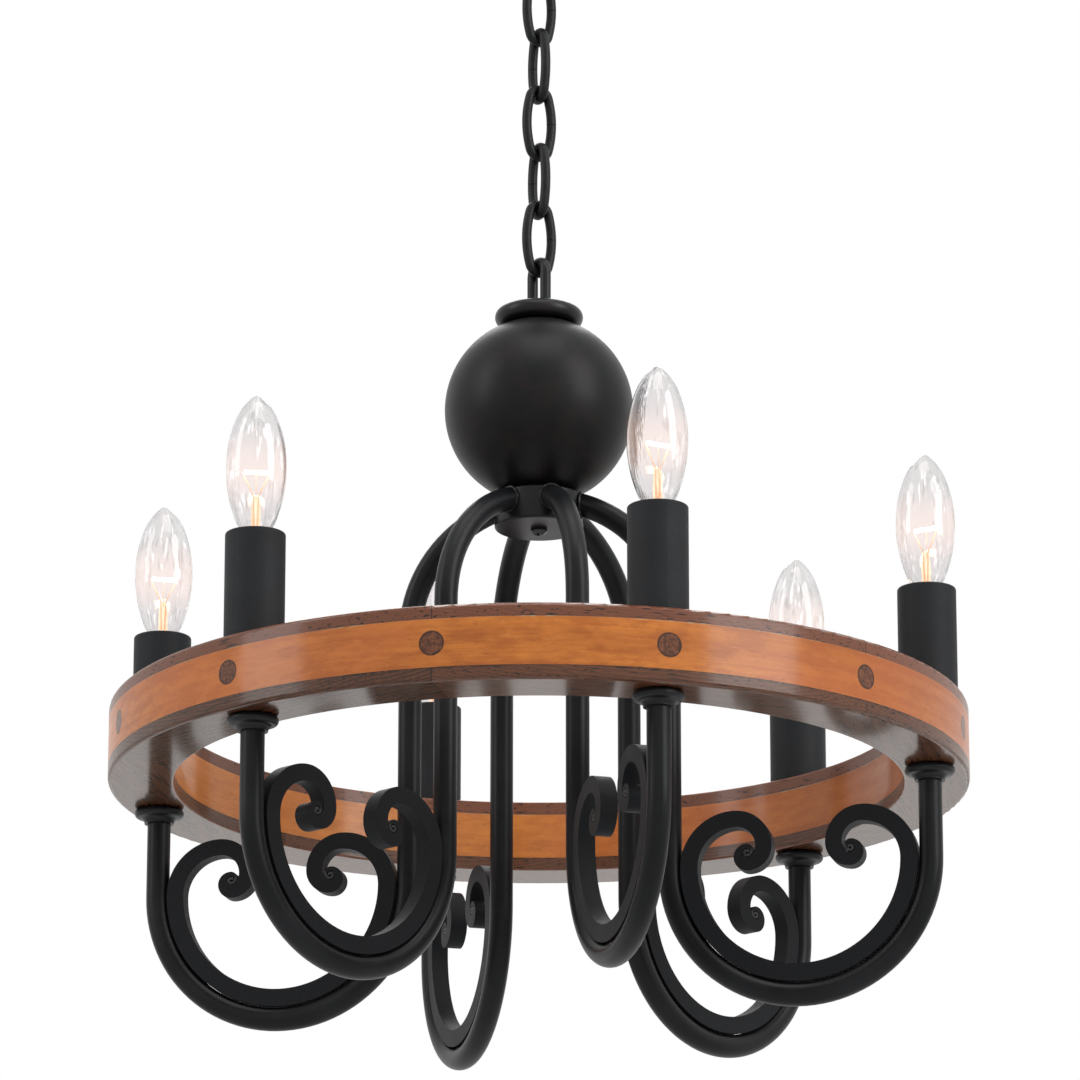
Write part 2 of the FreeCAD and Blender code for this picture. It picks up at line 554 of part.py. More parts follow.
def turned_piece(label, level, corners):
    """A round piece on the lamp's axis: its half profile turned once round."""
    body = new_body(label, level)
    sketch = new_sketch(body, "profile", "XZ_Plane")
    trace(sketch, corners)
    turned(body, sketch)
    return body


def candle_group(label, level, corners):
    """One round piece at each candle: the half profile is drawn from the candle's own axis."""
    body = new_body(label, level)
    sketch = new_sketch(body, "profile", "XZ_Plane")
    upright_axis(sketch, "arm_reach")
    trace(sketch, [("arm_reach + " + corner[0],) + corner[1:] for corner in corners])
    repeated_round(body, [turned(body, sketch, about="Axis0")], ARM_COUNT)
    return body


# --- Ceiling end -------------------------------------------------------------------------------

def make_canopy():
    """Spun sheet cup with a turned-out rim and a hole for the loop's stud."""
    cup = "canopy_diameter/2 - canopy_flange"
    flat = cup + " - canopy_shoulder"
    hole = "stud_diameter/2 + flush_gap"
    turned_piece("canopy", "0", [
        ("canopy_diameter/2", "0"),
        ("canopy_diameter/2", "0 - canopy_wall"),
        (cup, "0 - canopy_wall"),
        (cup, "canopy_shoulder - canopy_depth", "right", "canopy_shoulder"),
        (flat, "0 - canopy_depth"),
        (hole, "0 - canopy_depth"),
        (hole, "canopy_wall - canopy_depth"),
        (flat, "canopy_wall - canopy_depth", "left", "canopy_shoulder - canopy_wall"),
        (cup + " - canopy_wall", "canopy_shoulder - canopy_depth"),
        (cup + " - canopy_wall", "0"),
    ])


def make_crossbar():
    """Flat bar with two screw slots and a threaded hole, level with the canopy's rim."""
    body = new_body("crossbar", "0 - crossbar_thickness")
    plate = new_sketch(body, "plate", "XY_Plane")
    trace(plate, rectangle(
        "0 - crossbar_length/2", "0 - crossbar_width/2", "crossbar_length/2", "crossbar_width/2"))
    padded(body, plate, "crossbar_thickness")
    hole = new_sketch(body, "hole", "XY_Plane")
    circle(hole, "0", "0", "thread_bore/2")
    cut_through(body, hole)
    slot = new_sketch(body, "slot", "XY_Plane")
    near = "screw_spacing/2 - (slot_length - slot_width)/2"
    far = "screw_spacing/2 + (slot_length - slot_width)/2"
    trace(slot, [
        (near, "0 - slot_width/2"),
        (far, "0 - slot_width/2", "left", "slot_width/2", "DistanceX", far),
        (far, "slot_width/2"),
        (near, "slot_width/2", "left", "slot_width/2", "DistanceX", near),
    ])
    mirrored(body, [cut_through(body, slot)], "YZ_Plane")


def make_canopy_nipple():
    """Threaded pipe from the crossbar down into the loop's stud."""
    turned_piece("canopy_nipple", "0", rectangle(
        "wire_way/2", "stud_end + stud_floor + flush_gap", "thread_diameter/2", "0"))


def make_canopy_locknut():
    """Lock nut under the crossbar."""
    body = new_body("canopy_locknut", "0 - crossbar_thickness - nut_height")
    sketch = new_sketch(body, "outline", "XY_Plane")
    trace(sketch, hexagon("0", "nut_across_flats"))
    circle(sketch, "0", "0", "thread_bore/2")
    padded(body, sketch, "nut_height")


def make_canopy_loop():
    """Threaded stud through the canopy with a loop below it for the chain."""
    body = new_body("canopy_loop", "stud_end", LINK_ANGLE)
    stud = new_sketch(body, "stud", "XZ_Plane")
    trace(stud, [
        ("wire_way/2", "0"),
        ("stud_diameter/2 - stud_round", "0", "left", "stud_round"),
        ("stud_diameter/2", "stud_round"),
        ("stud_diameter/2", "stud_length"),
        ("thread_bore/2", "stud_length"),
        ("thread_bore/2", "stud_floor"),
        ("wire_way/2", "stud_floor"),
    ])
    turned(body, stud)
    bow_centre = "loop_bow - ceiling_loop_drop"
    section = new_sketch(body, "section", "XY_Plane", "bow_root")
    circle(section, "loop_bow", "0", "loop_wire/2")
    path = new_sketch(body, "path", "XZ_Plane")
    trace(path, [
        ("loop_bow", "bow_root"),
        ("loop_bow", bow_centre, "right", "loop_bow", "DistanceY", bow_centre),
        ("0 - loop_bow", bow_centre),
        ("0 - loop_bow", "bow_root"),
    ], closed=False)
    swept(body, section, path)


def make_canopy_collar():
    """Ring nut on the stud that holds the canopy up."""
    bore = "stud_diameter/2 + 2*thread_gap"
    flange = "stud_diameter/2 + collar_flange"
    wall = "stud_diameter/2 + collar_wall"
    turned_piece("canopy_collar", "0 - canopy_depth - flush_gap", [
        (bore, "0"),
        (bore, "0 - collar_height"),
        (wall + " - collar_round", "0 - collar_height", "left", "collar_round"),
        (wall, "collar_round - collar_height"),
        (wall, "0 - collar_flange_height"),
        (flange + " - collar_round", "0 - collar_flange_height", "left", "collar_round"),
        (flange, "collar_round - collar_flange_height"),
        (flange, "0"),
    ])


# --- Chain -------------------------------------------------------------------------------------

def make_chain_link(number):
    """Wire bent to a link of two end arcs and two bowed legs, open at a butt joint in one leg.

    Link 1 is the lowest.
    """
    turn = LINK_ANGLE if number % 2 else CROSS_ANGLE
    level = "bottom_link_level + %d*link_pitch" % (number - 1)
    body = new_body("chain_link_%d" % number, level, turn)
    path = new_sketch(body, "path", "XZ_Plane")
    trace(path, [
        ("seam_x", "link_seam/2", "left", "link_leg_radius"),
        ("link_join_x", "link_join_z", "left", "link_end_radius"),
        ("0 - link_join_x", "link_join_z", "left", "link_leg_radius"),
        ("0 - link_join_x", "0 - link_join_z", "left", "link_end_radius"),
        ("link_join_x", "0 - link_join_z", "left", "link_leg_radius"),
        ("seam_x", "0 - link_seam/2"),
    ], closed=False)
    section = new_sketch(body, "section", "XY_Plane", "link_seam/2")
    circle(section, "seam_x", "0", "link_wire/2")
    swept(body, section, path)


# --- Ball and hub ------------------------------------------------------------------------------

def make_ball_loop():
    """Bent bar welded on the ball's collar, in the plane across the lowest link."""
    body = new_body("ball_loop", "cap_top", CROSS_ANGLE)
    bow_centre = "ball_loop_rise - loop_bow"
    section = new_sketch(body, "section", "XY_Plane")
    circle(section, "loop_bow", "0", "loop_wire/2")
    path = new_sketch(body, "path", "XZ_Plane")
    trace(path, [
        ("loop_bow", "0"),
        ("loop_bow", bow_centre, "left", "loop_bow", "DistanceY", bow_centre),
        ("0 - loop_bow", bow_centre),
        ("0 - loop_bow", "0"),
    ], closed=False)
    swept(body, section, path)


def make_ball_collar():
    """Round-edged cap that lies on the ball, dished to it."""
    turned_piece("ball_collar", "ball_level", [
        ("rod_hole", "sqrt(ball_seat^2 - rod_hole^2)", "right", "ball_seat"),
        ("cap_rim_circle*cap_share", "cap_rise*cap_share", "left", "cap_rim_radius"),
        ("cap_rim_circle + cap_rim_radius", "cap_rise", "left", "cap_rim_radius"),
        ("cap_rim_circle", "cap_rise + cap_rim_radius"),
        ("rod_hole", "cap_rise + cap_rim_radius"),
    ])


def make_ball():
    """Hollow ball with a hole for the rod at its top and bottom."""
    inside = "(ball_radius - ball_wall)"
    outer_pole = "sqrt(ball_radius^2 - rod_hole^2)"
    inner_pole = "sqrt(%s^2 - rod_hole^2)" % inside
    turned_piece("ball", "ball_level", [
        ("rod_hole", "0 - " + outer_pole, "left", "ball_radius"),
        ("ball_radius", "0", "left", "ball_radius"),
        ("rod_hole", outer_pole),
        ("rod_hole", inner_pole, "right", inside),
        (inside, "0", "right", inside),
        ("rod_hole", "0 - " + inner_pole),
    ])


def make_centre_rod():
    """Threaded pipe that draws the collar, the ball and the hub together."""
    turned_piece("centre_rod", "web_bottom", rectangle(
        "wire_way/2", "0 - rod_below_web", "thread_diameter/2", "cap_top - flush_gap - web_bottom"))


def make_hub():
    """Cup with a dished mouth for the ball and a web for the rod."""
    inside = "hub_radius - hub_wall"
    turned_piece("hub", "hub_top", [
        ("hub_seat_radius", "0"),
        ("hub_seat_radius", "0 - hub_dish_depth"),
        ("rod_hole", "0 - hub_dish_depth"),
        ("rod_hole", "0 - hub_dish_depth - hub_web"),
        (inside, "0 - hub_dish_depth - hub_web"),
        (inside, "0 - hub_height"),
        ("hub_radius", "0 - hub_height"),
        ("hub_radius", "0 - hub_edge_round", "left", "hub_edge_round"),
        ("hub_radius - hub_edge_round", "0"),
    ])


def make_hub_cover():
    """Disc under the hub, with a rounded lower edge."""
    edge = "hub_radius + cover_overhang"
    turned_piece("hub_cover", "cover_bottom", [
        ("wire_way/2", "0"),
        (edge + " - cover_round", "0", "left", "cover_round"),
        (edge, "cover_round"),
        (edge, "cover_thickness"),
        ("wire_way/2", "cover_thickness"),
    ])


def make_cover_screw():
    """Pan-head screw that holds the cover to the rod's lower end, with a cross recess."""
    shank = "wire_way/2 - thread_gap"
    head = "screw_head_diameter/2"
    body = new_body("cover_screw", "cover_bottom")
    profile = new_sketch(body, "profile", "XZ_Plane")
    trace(profile, [
        ("0", "0 - screw_head_height", "left", "screw_head_crown"),
        (head, "0 - screw_head_side"),
        (head, "0"),
        (shank, "0"),
        (shank, "screw_shank_length"),
        ("0", "screw_shank_length"),
    ])
    turned(body, profile)
    arm = "screw_recess_arm/2"
    tip = "screw_recess_span/2"
    recess = new_sketch(body, "recess", "XY_Plane", "0 - screw_head_height")
    trace(recess, [
        (arm, arm), (arm, tip), ("0 - " + arm, tip), ("0 - " + arm, arm), ("0 - " + tip, arm),
        ("0 - " + tip, "0 - " + arm), ("0 - " + arm, "0 - " + arm), ("0 - " + arm, "0 - " + tip),
        (arm, "0 - " + tip), (arm, "0 - " + arm), (tip, "0 - " + arm), (tip, arm),
    ])
    pocket = feature(body, "Pocket", recess)
    pocket.setExpression("Length", bound("screw_recess_depth"))
    pocket.Reversed = True


# --- Arms and scrolls --------------------------------------------------------------------------

def make_arm(number):
    """Tube bent twice: out of the hub and down, round under the rim, and up to it.

    Its frame lies at the level of the lower bend's centre, and its root is cut to the hub's wall.
    """
    body = new_body("arm_%d" % number, "bend_level", (number - 1)*ARM_STEP)
    path = new_sketch(body, "path", "XZ_Plane")
    leg_top = "outer_leg_length - weld_gap"
    trace(path, [
        ("arm_reach", leg_top),
        ("arm_reach", "0", "right", "bend_radius", "DistanceY", "0"),
        ("inner_leg_radius", "0"),
        ("inner_leg_radius", "inner_leg_length", "left", "bend_radius"),
        ("arm_root_x", "inner_leg_length + arm_root_rise"),
    ], closed=False)
    section = new_sketch(body, "section", "XY_Plane", leg_top)
    circle(section, "arm_reach", "0", "tube_radius")
    circle(section, "arm_reach", "0", "tube_radius - tube_wall")
    swept(body, section, path)
    hub_wall = new_sketch(body, "hub_wall", "XY_Plane")
    circle(hub_wall, "0", "0", "hub_radius + weld_gap")
    cut_through(body, hub_wall)


def make_scroll(number):
    """Square bar forged to a double scroll that fills the arm's lower bend.

    Half of its outline is two chains of arcs: the outer edge along the bend, over the shoulder and round
    the curl, and the inner edge, whose arcs end sooner, so that the bar thins towards its tip.
    """
    turn = (number - 1)*ARM_STEP
    body = new_body("scroll_%d" % number, "bend_level", turn, "bend_reach")
    outer, outer_tip = tangent_arcs(("0", "0 - scroll_outer_radius"), 0, [
        ("scroll_outer_radius", 90),
        ("crown_radius", 90),
        ("neck_radius", 90),
        ("curl_first_radius", 90),
        ("curl_second_radius", 90),
        ("curl_third_radius", 90),
        ("curl_tip_radius", CURL_END_ANGLE),
    ])
    inner, inner_tip = tangent_arcs(("0", "0 - scroll_inner_radius"), 0, [
        ("scroll_inner_radius", 90),
        ("inside_crown_radius", 90),
        ("inside_neck_radius", 90),
        ("inside_throat_radius", THROAT_ANGLE),
        ("eye_first_radius", 90 - THROAT_ANGLE),
        ("eye_second_radius", 90),
        ("eye_tip_radius", 90),
        ("eye_tip_radius", CURL_END_ANGLE),
    ])
    outline = new_sketch(body, "outline", "XZ_Plane")
    trace(outline, outer + [outer_tip] + walked_back(inner, inner_tip))
    mirrored(body, [padded(body, outline, "bar_side", midplane=True)], "YZ_Plane")


# --- Rim and candles ---------------------------------------------------------------------------

def cut_candle_holes(body):
    """Holes for the nipples through one layer of the rim."""
    sketch = new_sketch(body, "candle_hole", "XY_Plane")
    circle(sketch, "arm_reach", "0", "thread_diameter/2 + flush_gap")
    repeated_round(body, [cut_through(body, sketch)], ARM_COUNT)


def make_ring_top_layer():
    """Dark upper layer, with rounded top edges."""
    cut_candle_holes(turned_piece("ring_top_layer", "top_level", [
        ("ring_inner_radius", "0"),
        ("ring_outer_radius", "0"),
        ("ring_outer_radius", "top_layer - ring_edge_round", "left", "ring_edge_round"),
        ("ring_outer_radius - ring_edge_round", "top_layer"),
        ("ring_inner_radius + ring_inner_round", "top_layer", "left", "ring_inner_round"),
        ("ring_inner_radius", "top_layer - ring_inner_round"),
    ]))


def make_ring_middle_layer():
    """Light middle layer, drilled from outside for the plugs."""
    body = turned_piece("ring_middle_layer", "middle_level", rectangle(
        "ring_inner_radius", "0", "ring_outer_radius", "middle_layer"))
    cut_candle_holes(body)
    sketch = new_sketch(body, "plug_hole", "YZ_Plane", "dowel_root")
    circle(sketch, "0", "middle_layer/2", "dowel_diameter/2 + thread_gap/2")
    hole = feature(body, "Pocket", sketch)
    hole.setExpression("Length", bound("2*dowel_length"))
    hole.Reversed = True
    repeated_round(body, [hole], DOWEL_COUNT)


def make_ring_bottom_layer():
    """Dark lower layer, with rounded lower edges."""
    cut_candle_holes(turned_piece("ring_bottom_layer", "ring_bottom", [
        ("ring_inner_radius + ring_inner_round", "0"),
        ("ring_outer_radius - ring_edge_round", "0", "left", "ring_edge_round"),
        ("ring_outer_radius", "ring_edge_round"),
        ("ring_outer_radius", "bottom_layer"),
        ("ring_inner_radius", "bottom_layer"),
        ("ring_inner_radius", "ring_inner_round", "left", "ring_inner_round"),
    ]))


def make_dowels():
    """Round wooden plugs in the rim's outer face, one over each arm and one between."""
    body = new_body("dowels", "middle_level")
    sketch = new_sketch(body, "section", "YZ_Plane", "dowel_root")
    circle(sketch, "0", "middle_layer/2", "dowel_diameter/2")
    repeated_round(body, [padded(body, sketch, "dowel_length")], DOWEL_COUNT)


def make_arm_collars():
    """Round-edged collar on each arm, against the rim's underside, coved down to the tube."""
    bore = "tube_radius + thread_gap"
    disc = "collar_disc_diameter/2"
    round_edge = "collar_disc_thickness/2"
    neck = "tube_radius + thread_gap + collar_neck_wall"
    candle_group("arm_collars", "ring_bottom", [
        (bore, "0"),
        (bore, "0 - collar_disc_thickness - collar_cove_radius"),
        (neck, "0 - collar_disc_thickness - collar_cove_radius", "right", "collar_cove_radius"),
        (neck + " + collar_cove_radius", "0 - collar_disc_thickness"),
        (disc + " - " + round_edge, "0 - collar_disc_thickness", "left", round_edge),
        (disc, "0 - " + round_edge, "left", round_edge),
        (disc + " - " + round_edge, "0"),
    ])


def make_arm_nipples():
    """Threaded pipe from each arm through the rim into the lamp socket."""
    top = "ring_top - ring_bottom + nipple_above_ring"
    candle_group("arm_nipples", "ring_bottom", rectangle(
        "wire_way/2", "0 - nipple_in_tube", "thread_diameter/2", top))


def make_lock_nuts():
    """Lock nuts: one on the rim at each candle and one under the hub's web."""
    body = new_body("lock_nuts", "ring_top")
    outer = new_sketch(body, "outer", "XY_Plane")
    trace(outer, hexagon("arm_reach", "nut_across_flats"))
    circle(outer, "arm_reach", "0", "thread_bore/2")
    repeated_round(body, [padded(body, outer, "nut_height")], ARM_COUNT)
    middle = new_sketch(body, "middle", "XY_Plane", "web_bottom - ring_top - nut_height")
    trace(middle, hexagon("0", "nut_across_flats"))
    circle(middle, "0", "0", "thread_bore/2")
    padded(body, middle, "nut_height")


def make_sockets():
    """Lamp socket on each nipple, with a well for the bulb's base."""
    candle_group("sockets", "ring_top", [
        ("thread_bore/2", "socket_foot"),
        ("socket_diameter/2", "socket_foot"),
        ("socket_diameter/2", "socket_top"),
        ("socket_well_diameter/2", "socket_top"),
        ("socket_well_diameter/2", "well_floor"),
        ("contact_way", "well_floor"),
        ("contact_way", "socket_foot + socket_foot_depth"),
        ("thread_bore/2", "socket_foot + socket_foot_depth"),
    ])


def make_candle_sleeves():
    """Tube round each socket, closed at its top but for the bulb's mouth."""
    outside = "sleeve_diameter/2"
    inside = "sleeve_diameter/2 - sleeve_wall"
    candle_group("candle_sleeves", "ring_top", [
        (inside, "0"),
        (outside, "0"),
        (outside, "sleeve_height - sleeve_round", "left", "sleeve_round"),
        (outside + " - sleeve_round", "sleeve_height"),
        ("sleeve_mouth/2", "sleeve_height"),
        ("sleeve_mouth/2", "sleeve_height - sleeve_wall"),
        (inside, "sleeve_height - sleeve_wall"),
    ])


# --- Bulbs -------------------------------------------------------------------------------------

def new_bulb_body(label, number):
    """A body whose frame lies at the middle of a candle's mouth."""
    turn = (number - 1)*ARM_STEP
    return new_body("%s_%d" % (label, number), "ring_top + sleeve_height", turn, "arm_reach")


def make_bulb_base(number):
    """Screw shell, insulating cone and contact of one bulb."""
    body = new_bulb_body("bulb_base", number)
    contact_top = "base_bottom + base_contact_height"
    sketch = new_sketch(body, "profile", "XZ_Plane")
    trace(sketch, [
        ("0", "base_bottom"),
        ("base_contact_radius", "base_bottom"),
        ("base_contact_radius", contact_top),
        ("base_diameter/2", contact_top + " + base_cone_height"),
        ("base_diameter/2", "base_top"),
        ("0", "base_top"),
    ])
    turned(body, sketch)


def bulb_profile(inset):
    """Half profile of the flame-shaped glass, drawn inset by this much, and its tip."""
    lower_radius = "(bulb_lower_radius - %s)" % inset
    start_x = "bulb_radius - %s - %s*(1 - cos(bulb_lower_angle))" % (inset, lower_radius)
    start_z = "bulb_mid_height - %s*sin(bulb_lower_angle)" % lower_radius
    arcs, (nose_x, nose_z) = tangent_arcs((start_x, start_z), 90 - BULB_LOWER_ANGLE, [
        ("bulb_lower_radius - " + inset, BULB_LOWER_ANGLE),
        ("bulb_upper_radius - " + inset, BULB_UPPER_ANGLE),
        ("bulb_nose_radius - " + inset, BULB_NOSE_ANGLE),
    ])
    tip_radius = "(%s)/sin(bulb_tip_angle)" % nose_x
    tip_z = "%s + (%s)*(1 - cos(bulb_tip_angle))" % (nose_z, tip_radius)
    return arcs + [(nose_x, nose_z, "left", tip_radius)], ("0", tip_z)


def make_bulb_glass(number):
    """Flame-shaped glass shell, open at its neck."""
    body = new_bulb_body("bulb_glass", number)
    outside, outer_tip = bulb_profile("0")
    inside, inner_tip = bulb_profile("bulb_wall")
    sketch = new_sketch(body, "profile", "XZ_Plane")
    trace(sketch, [("bulb_neck_radius", "0 - bulb_neck_drop")] + outside + [outer_tip]
          + walked_back(inside, inner_tip) + [("bulb_neck_radius - bulb_wall", "0 - bulb_neck_drop")])
    turned(body, sketch)


def make_bulb_filament(number):
    """Glass stem with two wires that spread to the filament."""
    body = new_bulb_body("bulb_filament", number)
    stem = new_sketch(body, "stem", "XZ_Plane")
    trace(stem, [
        ("0", "0 - bulb_neck_drop"),
        ("stem_radius", "0 - bulb_neck_drop"),
        ("stem_radius", "stem_height - stem_taper"),
        ("stem_top_radius", "stem_height"),
        ("0", "stem_height"),
    ])
    turned(body, stem)
    foot = "stem_top_radius - lead_wire"
    foot_level = "stem_height - lead_wire"
    section = new_sketch(body, "section", "XY_Plane", foot_level)
    circle(section, foot, "0", "lead_wire/2")
    path = new_sketch(body, "path", "XZ_Plane")
    trace(path, [(foot, foot_level), ("filament_span/2 - lead_wire", "filament_height")], closed=False)
    mirrored(body, [swept(body, section, path)], "YZ_Plane")
    filament = new_sketch(body, "filament", "YZ_Plane")
    circle(filament, "0", "filament_height", "filament_wire/2")
    padded(body, filament, "filament_span", midplane=True)


# --- The whole lamp ----------------------------------------------------------------------------

def build():
    """Make every piece once, or once for each arm, link or bulb."""
    for make_one in (make_canopy, make_crossbar, make_canopy_nipple, make_canopy_locknut, make_canopy_loop,
                     make_canopy_collar, make_ball_loop, make_ball_collar, make_ball, make_centre_rod,
                     make_hub, make_hub_cover, make_cover_screw, make_ring_top_layer,
                     make_ring_middle_layer, make_ring_bottom_layer, make_dowels, make_arm_collars,
                     make_arm_nipples, make_lock_nuts, make_sockets, make_candle_sleeves):
        make_one()
    for number in range(1, LINK_COUNT + 1):
        make_chain_link(number)
    for number in range(1, ARM_COUNT + 1):
        for make_numbered in (make_arm, make_scroll, make_bulb_base, make_bulb_glass, make_bulb_filament):
            make_numbered(number)


def check():
    """Stop if any object failed or any piece is empty or broken."""
    for item in doc.Objects:
        if "Invalid" in item.State or "Error" in item.State:
            raise RuntimeError("%s failed: %s" % (item.Name, item.State))
    for body in doc.findObjects("PartDesign::Body"):
        if body.Shape.isNull() or not body.Shape.isValid() or not body.Shape.Solids:
            raise RuntimeError("%s has no sound shape" % body.Label)


def write():
    """Write each piece to its own file and say what it measures."""
    os.makedirs("parts", exist_ok=True)
    for body in doc.findObjects("PartDesign::Body"):
        body.Shape.exportStep("parts/%s.step" % body.Label)
        box = body.Shape.BoundBox
        print("%-20s %2d solids %12.1f mm3  z %8.2f to %8.2f" % (
            body.Label, len(body.Shape.Solids), body.Shape.Volume, box.ZMin, box.ZMax))
    section = math.pi*(value("tube_radius")**2 - value("tube_radius - tube_wall")**2)
    upper_turn = math.asin(value("(hub_radius - upper_bend_x)/bend_radius"))
    bends = value("bend_radius")*(math.pi + math.pi/2 - upper_turn)
    length = bends + value("inner_leg_length + outer_leg_length - weld_gap")
    print("arm tube by its length: %.1f mm3" % (section*length))


build()
doc.recompute()
check()
write()
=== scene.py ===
"""Looks of the wagon wheel chandelier: finishes for its wood, steel and glass, and its finest pieces.

Laid out as an add-on and run as a script. Lengths are in metres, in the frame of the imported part:
the origin is the centre of the ceiling plate's rim, and +Z is up.
"""

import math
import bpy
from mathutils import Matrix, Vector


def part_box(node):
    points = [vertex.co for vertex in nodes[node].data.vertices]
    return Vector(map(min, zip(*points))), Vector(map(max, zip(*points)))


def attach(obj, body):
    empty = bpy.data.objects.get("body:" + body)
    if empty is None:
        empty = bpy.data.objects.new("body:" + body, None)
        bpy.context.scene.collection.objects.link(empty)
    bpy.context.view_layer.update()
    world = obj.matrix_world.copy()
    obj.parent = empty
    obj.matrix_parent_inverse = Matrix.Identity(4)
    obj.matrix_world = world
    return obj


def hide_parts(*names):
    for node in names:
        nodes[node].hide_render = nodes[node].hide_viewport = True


bl_info = {
    "name": "Wagon wheel chandelier",
    "version": (1, 0, 0),
    "blender": (4, 5, 0),
    "location": "View3D > Sidebar > Chandelier",
    "description": "Finishes and fine pieces of a wagon wheel chandelier",
    "category": "Object",
}

import bmesh
import bpy
from bpy.props import FloatProperty, FloatVectorProperty, IntProperty, PointerProperty
from mathutils import Euler, Matrix, Vector

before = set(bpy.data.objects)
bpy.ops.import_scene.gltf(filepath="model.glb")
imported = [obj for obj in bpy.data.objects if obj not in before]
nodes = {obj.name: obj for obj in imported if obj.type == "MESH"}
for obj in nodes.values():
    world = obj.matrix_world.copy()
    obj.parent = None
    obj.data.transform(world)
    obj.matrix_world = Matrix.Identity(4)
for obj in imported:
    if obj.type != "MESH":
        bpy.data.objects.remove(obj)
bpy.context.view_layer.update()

MM = 0.001
CANDLES = 6
PLUGS = 12
RIM_PIECES = 6
CANDLE_STEP = 2 * math.pi / CANDLES
COIL_TWISTS = (-17, -40, -100, 25, -42, -78)  # degrees; where each bulb's thread happens to stop

# Places that the CAD nodes give
hub_low, hub_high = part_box("hub")
middle_low, middle_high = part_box("ring_middle_layer")
rim_low, rim_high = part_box("ring_bottom_layer")[0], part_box("ring_top_layer")[1]
rim_inner = min(Vector((x, y)).length for x, y, z in (v.co for v in nodes["ring_top_layer"].data.vertices))
glass_low, glass_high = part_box("bulb_glass_1")
mount_low, mount_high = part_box("bulb_filament_1")
base_low, base_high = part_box("bulb_base_1")
scroll_low, scroll_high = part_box("scroll_1")
CANDLE_REACH = (glass_low.x + glass_high.x) / 2
HUB_RADIUS = (hub_high.x - hub_low.x) / 2
PLUG_LEVEL = (middle_low.z + middle_high.z) / 2


# --- Node helpers -------------------------------------------------------------------------------

def connect(tree, socket, source):
    """Links a node's output to a socket, or sets its value. A colour needs no alpha."""
    if isinstance(source, bpy.types.NodeSocket):
        tree.links.new(source, socket)
    elif socket.type == "RGBA" and len(source) == 3:
        socket.default_value = (*source, 1.0)
    else:
        socket.default_value = source


def put(tree, kind, inputs, **settings):
    """Adds a node with its settings. An input is a value or another node's output."""
    node = tree.nodes.new("ShaderNode" + kind)
    for setting, choice in settings.items():
        setattr(node, setting, choice)
    for name, source in inputs.items():
        connect(tree, node.inputs[name], source)
    return node


def calc(tree, operation, *values):
    """The output of a Math node."""
    return put(tree, "Math", dict(enumerate(values)), operation=operation).outputs[0]


def blend_colours(tree, factor, first, second, blend_type="MIX"):
    """The output of a Mix node for colours."""
    inputs = {0: factor, 6: first, 7: second}
    return put(tree, "Mix", inputs, data_type="RGBA", blend_type=blend_type).outputs[2]


def layered(tree, colour, *layers):
    """A colour with others laid over it in turn, each through its mask."""
    for mask, cover in layers:
        colour = blend_colours(tree, mask, colour, cover)
    return colour


def stretched(tree, value, low, high, to_low=0.0, to_high=1.0):
    """A value's range from low to high mapped to another, and held at its ends."""
    inputs = {"Value": value, "From Min": low, "From Max": high, "To Min": to_low, "To Max": to_high}
    return put(tree, "MapRange", inputs, interpolation_type="SMOOTHSTEP").outputs["Result"]


def scaled(tree, vector, factors):
    """A vector times three factors."""
    return put(tree, "VectorMath", {0: vector, 1: factors}, operation="MULTIPLY").outputs[0]


def from_point(tree, place, point):
    """Where a place is, seen from a point."""
    return put(tree, "VectorMath", {0: place, 1: point}, operation="SUBTRACT").outputs[0]


def length(tree, vector):
    """A vector's length."""
    return put(tree, "VectorMath", {0: vector}, operation="LENGTH").outputs["Value"]


def axes(tree, vector):
    """A vector's parts X, Y and Z."""
    return put(tree, "SeparateXYZ", {0: vector}).outputs


def combined(tree, *parts):
    """A vector made of its parts."""
    return put(tree, "CombineXYZ", dict(enumerate(parts))).outputs[0]


def nearest(tree, value, low, high):
    """How far a value is from the nearer of two."""
    below = calc(tree, "ABSOLUTE", calc(tree, "SUBTRACT", value, low))
    above = calc(tree, "ABSOLUTE", calc(tree, "SUBTRACT", value, high))
    return calc(tree, "MINIMUM", below, above)


def noise(tree, vector, size, detail=3.0, roughness=0.5):
    """Noise whose blotches are about as large as size."""
    inputs = {"Vector": vector, "Scale": 1 / size, "Detail": detail, "Roughness": roughness}
    return put(tree, "TexNoise", inputs).outputs["Fac"]


def object_place(tree):
    """The place on the piece, in metres."""
    return put(tree, "TexCoord", {}).outputs["Object"]


def new_group(name, inputs, outputs):
    """A node group with these sockets: (name, kind, default) in, (name, kind) out."""
    group = bpy.data.node_groups.new(name, "ShaderNodeTree")
    for label, kind, default in inputs:
        socket = group.interface.new_socket(label, in_out="INPUT", socket_type="NodeSocket" + kind)
        socket.default_value = default
    for label, kind in outputs:
        group.interface.new_socket(label, in_out="OUTPUT", socket_type="NodeSocket" + kind)
    source = group.nodes.new("NodeGroupInput")
    result = group.nodes.new("NodeGroupOutput")
    return group, source.outputs, result.inputs


def use_group(tree, name, inputs):
    """Places a finished group in a tree."""
    return put(tree, "Group", inputs, node_tree=bpy.data.node_groups[name]).outputs


def new_material(name):
    """A material's tree and its Principled shader."""
    material = bpy.data.materials.new(name)
    material.use_nodes = True
    tree = material.node_tree
    return material, tree, tree.nodes["Principled BSDF"]


def feed(tree, shader, **sources):
    """Sets or links the shader's inputs. An underscore stands for a space."""
    for label, source in sources.items():
        connect(tree, shader.inputs[label.replace("_", " ")], source)


def bump(tree, height, distance, strength=1.0):
    """The normal of a bump."""
    return put(tree, "Bump", {"Height": height, "Distance": distance, "Strength": strength}).outputs[0]


def shade(colour, *factors):
    """A colour times one factor, or times one for each of its parts."""
    return [part * factor for part, factor in zip(colour, factors * (3 // len(factors)))]


